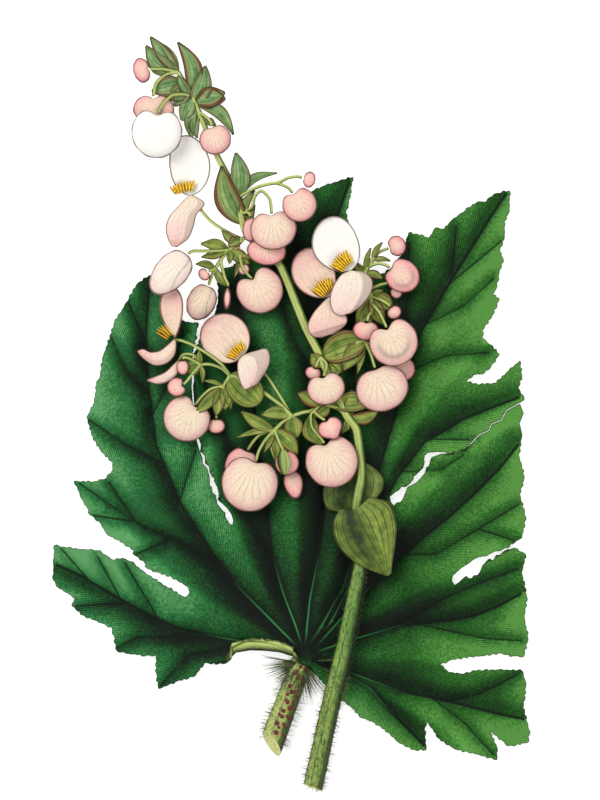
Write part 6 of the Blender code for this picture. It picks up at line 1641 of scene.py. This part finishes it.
def hairs_along(path, radii, spacing, length, width, lying):
    """Hairs all round a strand but not under it; standing ones lean a little, lying ones follow it down."""
    places, aims, sizes = [], [], []
    steps = np.concatenate([[0], np.cumsum(np.linalg.norm(np.diff(path, axis=0), axis=1))])
    for along in np.arange(0.5 * spacing, steps[-1], spacing):
        if along + LOOK_AHEAD > steps[-1]:
            break
        centre, after = (np.array([np.interp(place, steps, path[:, axis]) for axis in range(3)])
                         for place in (along, along + LOOK_AHEAD))
        radius = float(np.interp(along, steps, radii))
        ahead = unit(after - centre)
        side = unit([ahead[1], -ahead[0], 0])
        turn = math.radians(chance.uniform(-20, 200))
        out = math.cos(turn) * side + math.sin(turn) * np.cross(side, ahead)
        aim = unit(out + chance.uniform(-0.5, 0.3) * ahead + chance.normal(0, 0.12, 3))
        aim = unit(aim - 6 * lying * ahead)
        reach = length * chance.uniform(0.6, 1.15)
        places.append(centre + 0.99 * radius * out)
        aims.append(above_floor(places[-1], aim, reach))
        sizes.append((width, reach))
    return places, aims, sizes


up_axis = axis_path[:, 1]
free_part, over_leaf, lower_part = up_axis < -108, (up_axis > -110) & (up_axis < -62), up_axis < -62
# Each run: the part of the axis, or None for the stalk, spacing, length, width and how far they lie down
HAIRS = [
    ("stem_hairs", hair_down, "stem_green",
        [(free_part, 0.07, 2.6, 0.08, 0.0), (over_leaf, 0.2, 1.4, 0.08, 0.0)]),
    ("stalk_bristles", hair_down, "stalk_green", [(None, 0.07, 3.8, 0.08, 0.0)]),
    ("stem_lying_hairs", hair_lying, "stem_green", [(lower_part, 0.2, 1.7, 0.13, 1.0)]),
    ("stalk_lying_hairs", hair_lying, "stalk_green", [(None, 0.28, 1.5, 0.12, 1.0)]),
]
for name, finish, slot, runs in HAIRS:
    places, aims, sizes = [], [], []
    for kept, *form in runs:
        strand = (stalk_path, stalk_radii) if kept is None else (axis_path[kept, :3], axis_path[kept, 3])
        for found, more in zip((places, aims, sizes), hairs_along(*strand, *form)):
            found.extend(more)
    hand_over(grow_on_points(name, places, aims, sizes, "cone", finish, 3), slot)

# %% The leaf's margin
MARGIN_HAIR = 0.07
places, aims, sizes = [], [], []
for a, b in zip(ring, ring[1:]):
    a, b = np.array(a), np.array(b)
    run = b - a
    if np.linalg.norm(run) < 0.2 or chance.random() < 0.35:
        continue
    away = unit([-run[1], run[0], 0.6 * np.linalg.norm(run)]) + chance.normal(0, 0.25, 3)
    root = blade_middle(0.5 * (a + b)[None], crease, outward)[0]
    reach = chance.uniform(0.8, 1.8)
    places.append(root)
    aims.append(above_floor(root, unit(away), reach))
    sizes.append((MARGIN_HAIR, reach))
for spot, away in zip(crease[2:-2], outward[2:-2]):
    aim = unit([*(away + chance.normal(0, 0.35, 2)), chance.uniform(-0.1, 0.5)])
    reach = chance.uniform(1.2, 3.4)
    height = float(blade_middle(spot[None], crease, outward)[0, 2])
    places.append(np.array([*(spot + 0.9 * ROLL_RADIUS * away), height + 0.9]))
    aims.append(aim)
    sizes.append((MARGIN_HAIR, reach))
hand_over(grow_on_points("margin_hairs", places, aims, sizes, "cone", hair_down, 3), "leaf_green")

# %% The collar
COLLAR_CENTRE = np.array([*(STALK_TOP + 0.14 * (STALK_CUT - STALK_TOP)), 4.4])
COLLAR_HAIRS, COLLAR_WIDTH = 260, 0.19
places, aims, sizes = [], [], []
for number in range(COLLAR_HAIRS):
    turn = math.radians(chance.uniform(168, 372))
    aim = unit([math.cos(turn), math.sin(turn), chance.uniform(-0.25, 0.5)])
    reach = chance.uniform(9.0, 16.0)
    places.append(COLLAR_CENTRE + (0, 0, chance.uniform(-1.5, 3.0)) + 2.2 * aim)
    aims.append(above_floor(places[-1], aim, reach))
    sizes.append((COLLAR_WIDTH, reach))
hand_over(grow_on_points("stalk_collar", places, aims, sizes, "cone", collar_down, 4), "stalk_green")

# %% The red spots
places, aims, sizes = [], [], []
for number in range(9):
    share = 0.12 + 0.085 * number
    centre = np.array([np.interp(share, stalk_shares, stalk_path[:, axis]) for axis in range(3)])
    radius = float(np.interp(share, stalk_shares, stalk_radii))
    ahead = unit([*(STALK_TOP - STALK_CUT), 0])
    side = unit([ahead[1], -ahead[0], 0])
    for turn in (58, 96):
        for size in (1.0, 0.75, 0.55)[: chance.integers(1, 4)]:
            angle = math.radians(turn + chance.uniform(-13, 13))
            out = math.cos(angle) * side + math.sin(angle) * np.array([0, 0, 1.0])
            places.append(centre + radius * out + chance.uniform(-1.3, 1.3) * ahead)
            aims.append(out)
            sizes.append((size * chance.uniform(0.75, 1.1), 0.2))
hand_over(grow_on_points("stalk_spots", places, aims, sizes, "ball", spot_red, 12), "stalk_green")

# %% [markdown]
# ## Shade on the leaf
# The leaf stays dark and cool where stems and blooms lie close over it. The height map shows where they
# are, so a softened copy of it lowers the leaf's tone there.

# %% Shade under the stem and its blooms
BLUR = range(-8, 9)
covered = (heights - blade_heights > 1.0).astype(float)
for axis in (0, 1, 0, 1):
    covered = sum(np.roll(covered, step, axis) for step in BLUR) / len(BLUR)
under = covered[cells_of(net)]
tone_and_painted_shading -= 0.34 * np.clip(1.4 * under, 0, 1)
leaf_blade.data.attributes["tone_and_painted_shading"].data.foreach_set("value", np.tile(tone_and_painted_shading, 2).astype(np.float32))
print("leaf points in shade:", int((under > 0.3).sum()))

# %% [markdown]
# ## Floor, light and camera
# A pale card lies under the part. Broad, soft lights stand at the upper left and lower right, and the camera
# looks straight down through a long lens, as the picture shows the plant.

# %% Floor
FLOOR_REACH, FLOOR_DROP = 3.0, 0.0002
corners = [(-1, -1), (1, -1), (1, 1), (-1, 1)]
card = bpy.data.meshes.new("floor_card")
card.from_pydata([(x * FLOOR_REACH, y * FLOOR_REACH, -FLOOR_DROP) for x, y in corners], [], [(0, 1, 2, 3)])
card.materials.append(floor_card)
floor = bpy.data.objects.new("floor_card", card)
scene.collection.objects.link(floor)

# %% Lights
def soft_light(name, place, size, power):
    """A square white light that faces the middle of the part."""
    light = bpy.data.lights.new(name, "AREA")
    light.shape = "SQUARE"
    light.size = size
    light.energy = power
    holder = bpy.data.objects.new(name, light)
    holder.location = place
    holder.rotation_euler = (Vector((0, 0.11, 0)) - Vector(place)).to_track_quat("-Z", "Y").to_euler()
    scene.collection.objects.link(holder)


soft_light("key light", (-1.1, 1.0, 1.9), 1.3, 37)
soft_light("fill light", (1.6, -0.6, 1.8), 1.6, 21)
world = bpy.data.worlds.new("studio")
world.use_nodes = True
world.node_tree.nodes["Background"].inputs["Color"].default_value = (1, 1, 1, 1)
world.node_tree.nodes["Background"].inputs["Strength"].default_value = 0.45
scene.world = world
scene.view_settings.view_transform = "Standard"

# %% Camera
LENS, SENSOR, VIEW_HEIGHT, AIM_HEIGHT = 200.0, 36.0, 0.32, 0.015
lens = bpy.data.cameras.new("camera above")
lens.lens, lens.sensor_width, lens.sensor_fit = LENS, SENSOR, "AUTO"
lens.clip_end = 20
camera = bpy.data.objects.new("camera above", lens)
camera.location = (-ORIGIN[0] * MM, -ORIGIN[1] * MM, AIM_HEIGHT + VIEW_HEIGHT * LENS / SENSOR)
scene.collection.objects.link(camera)
scene.camera = camera
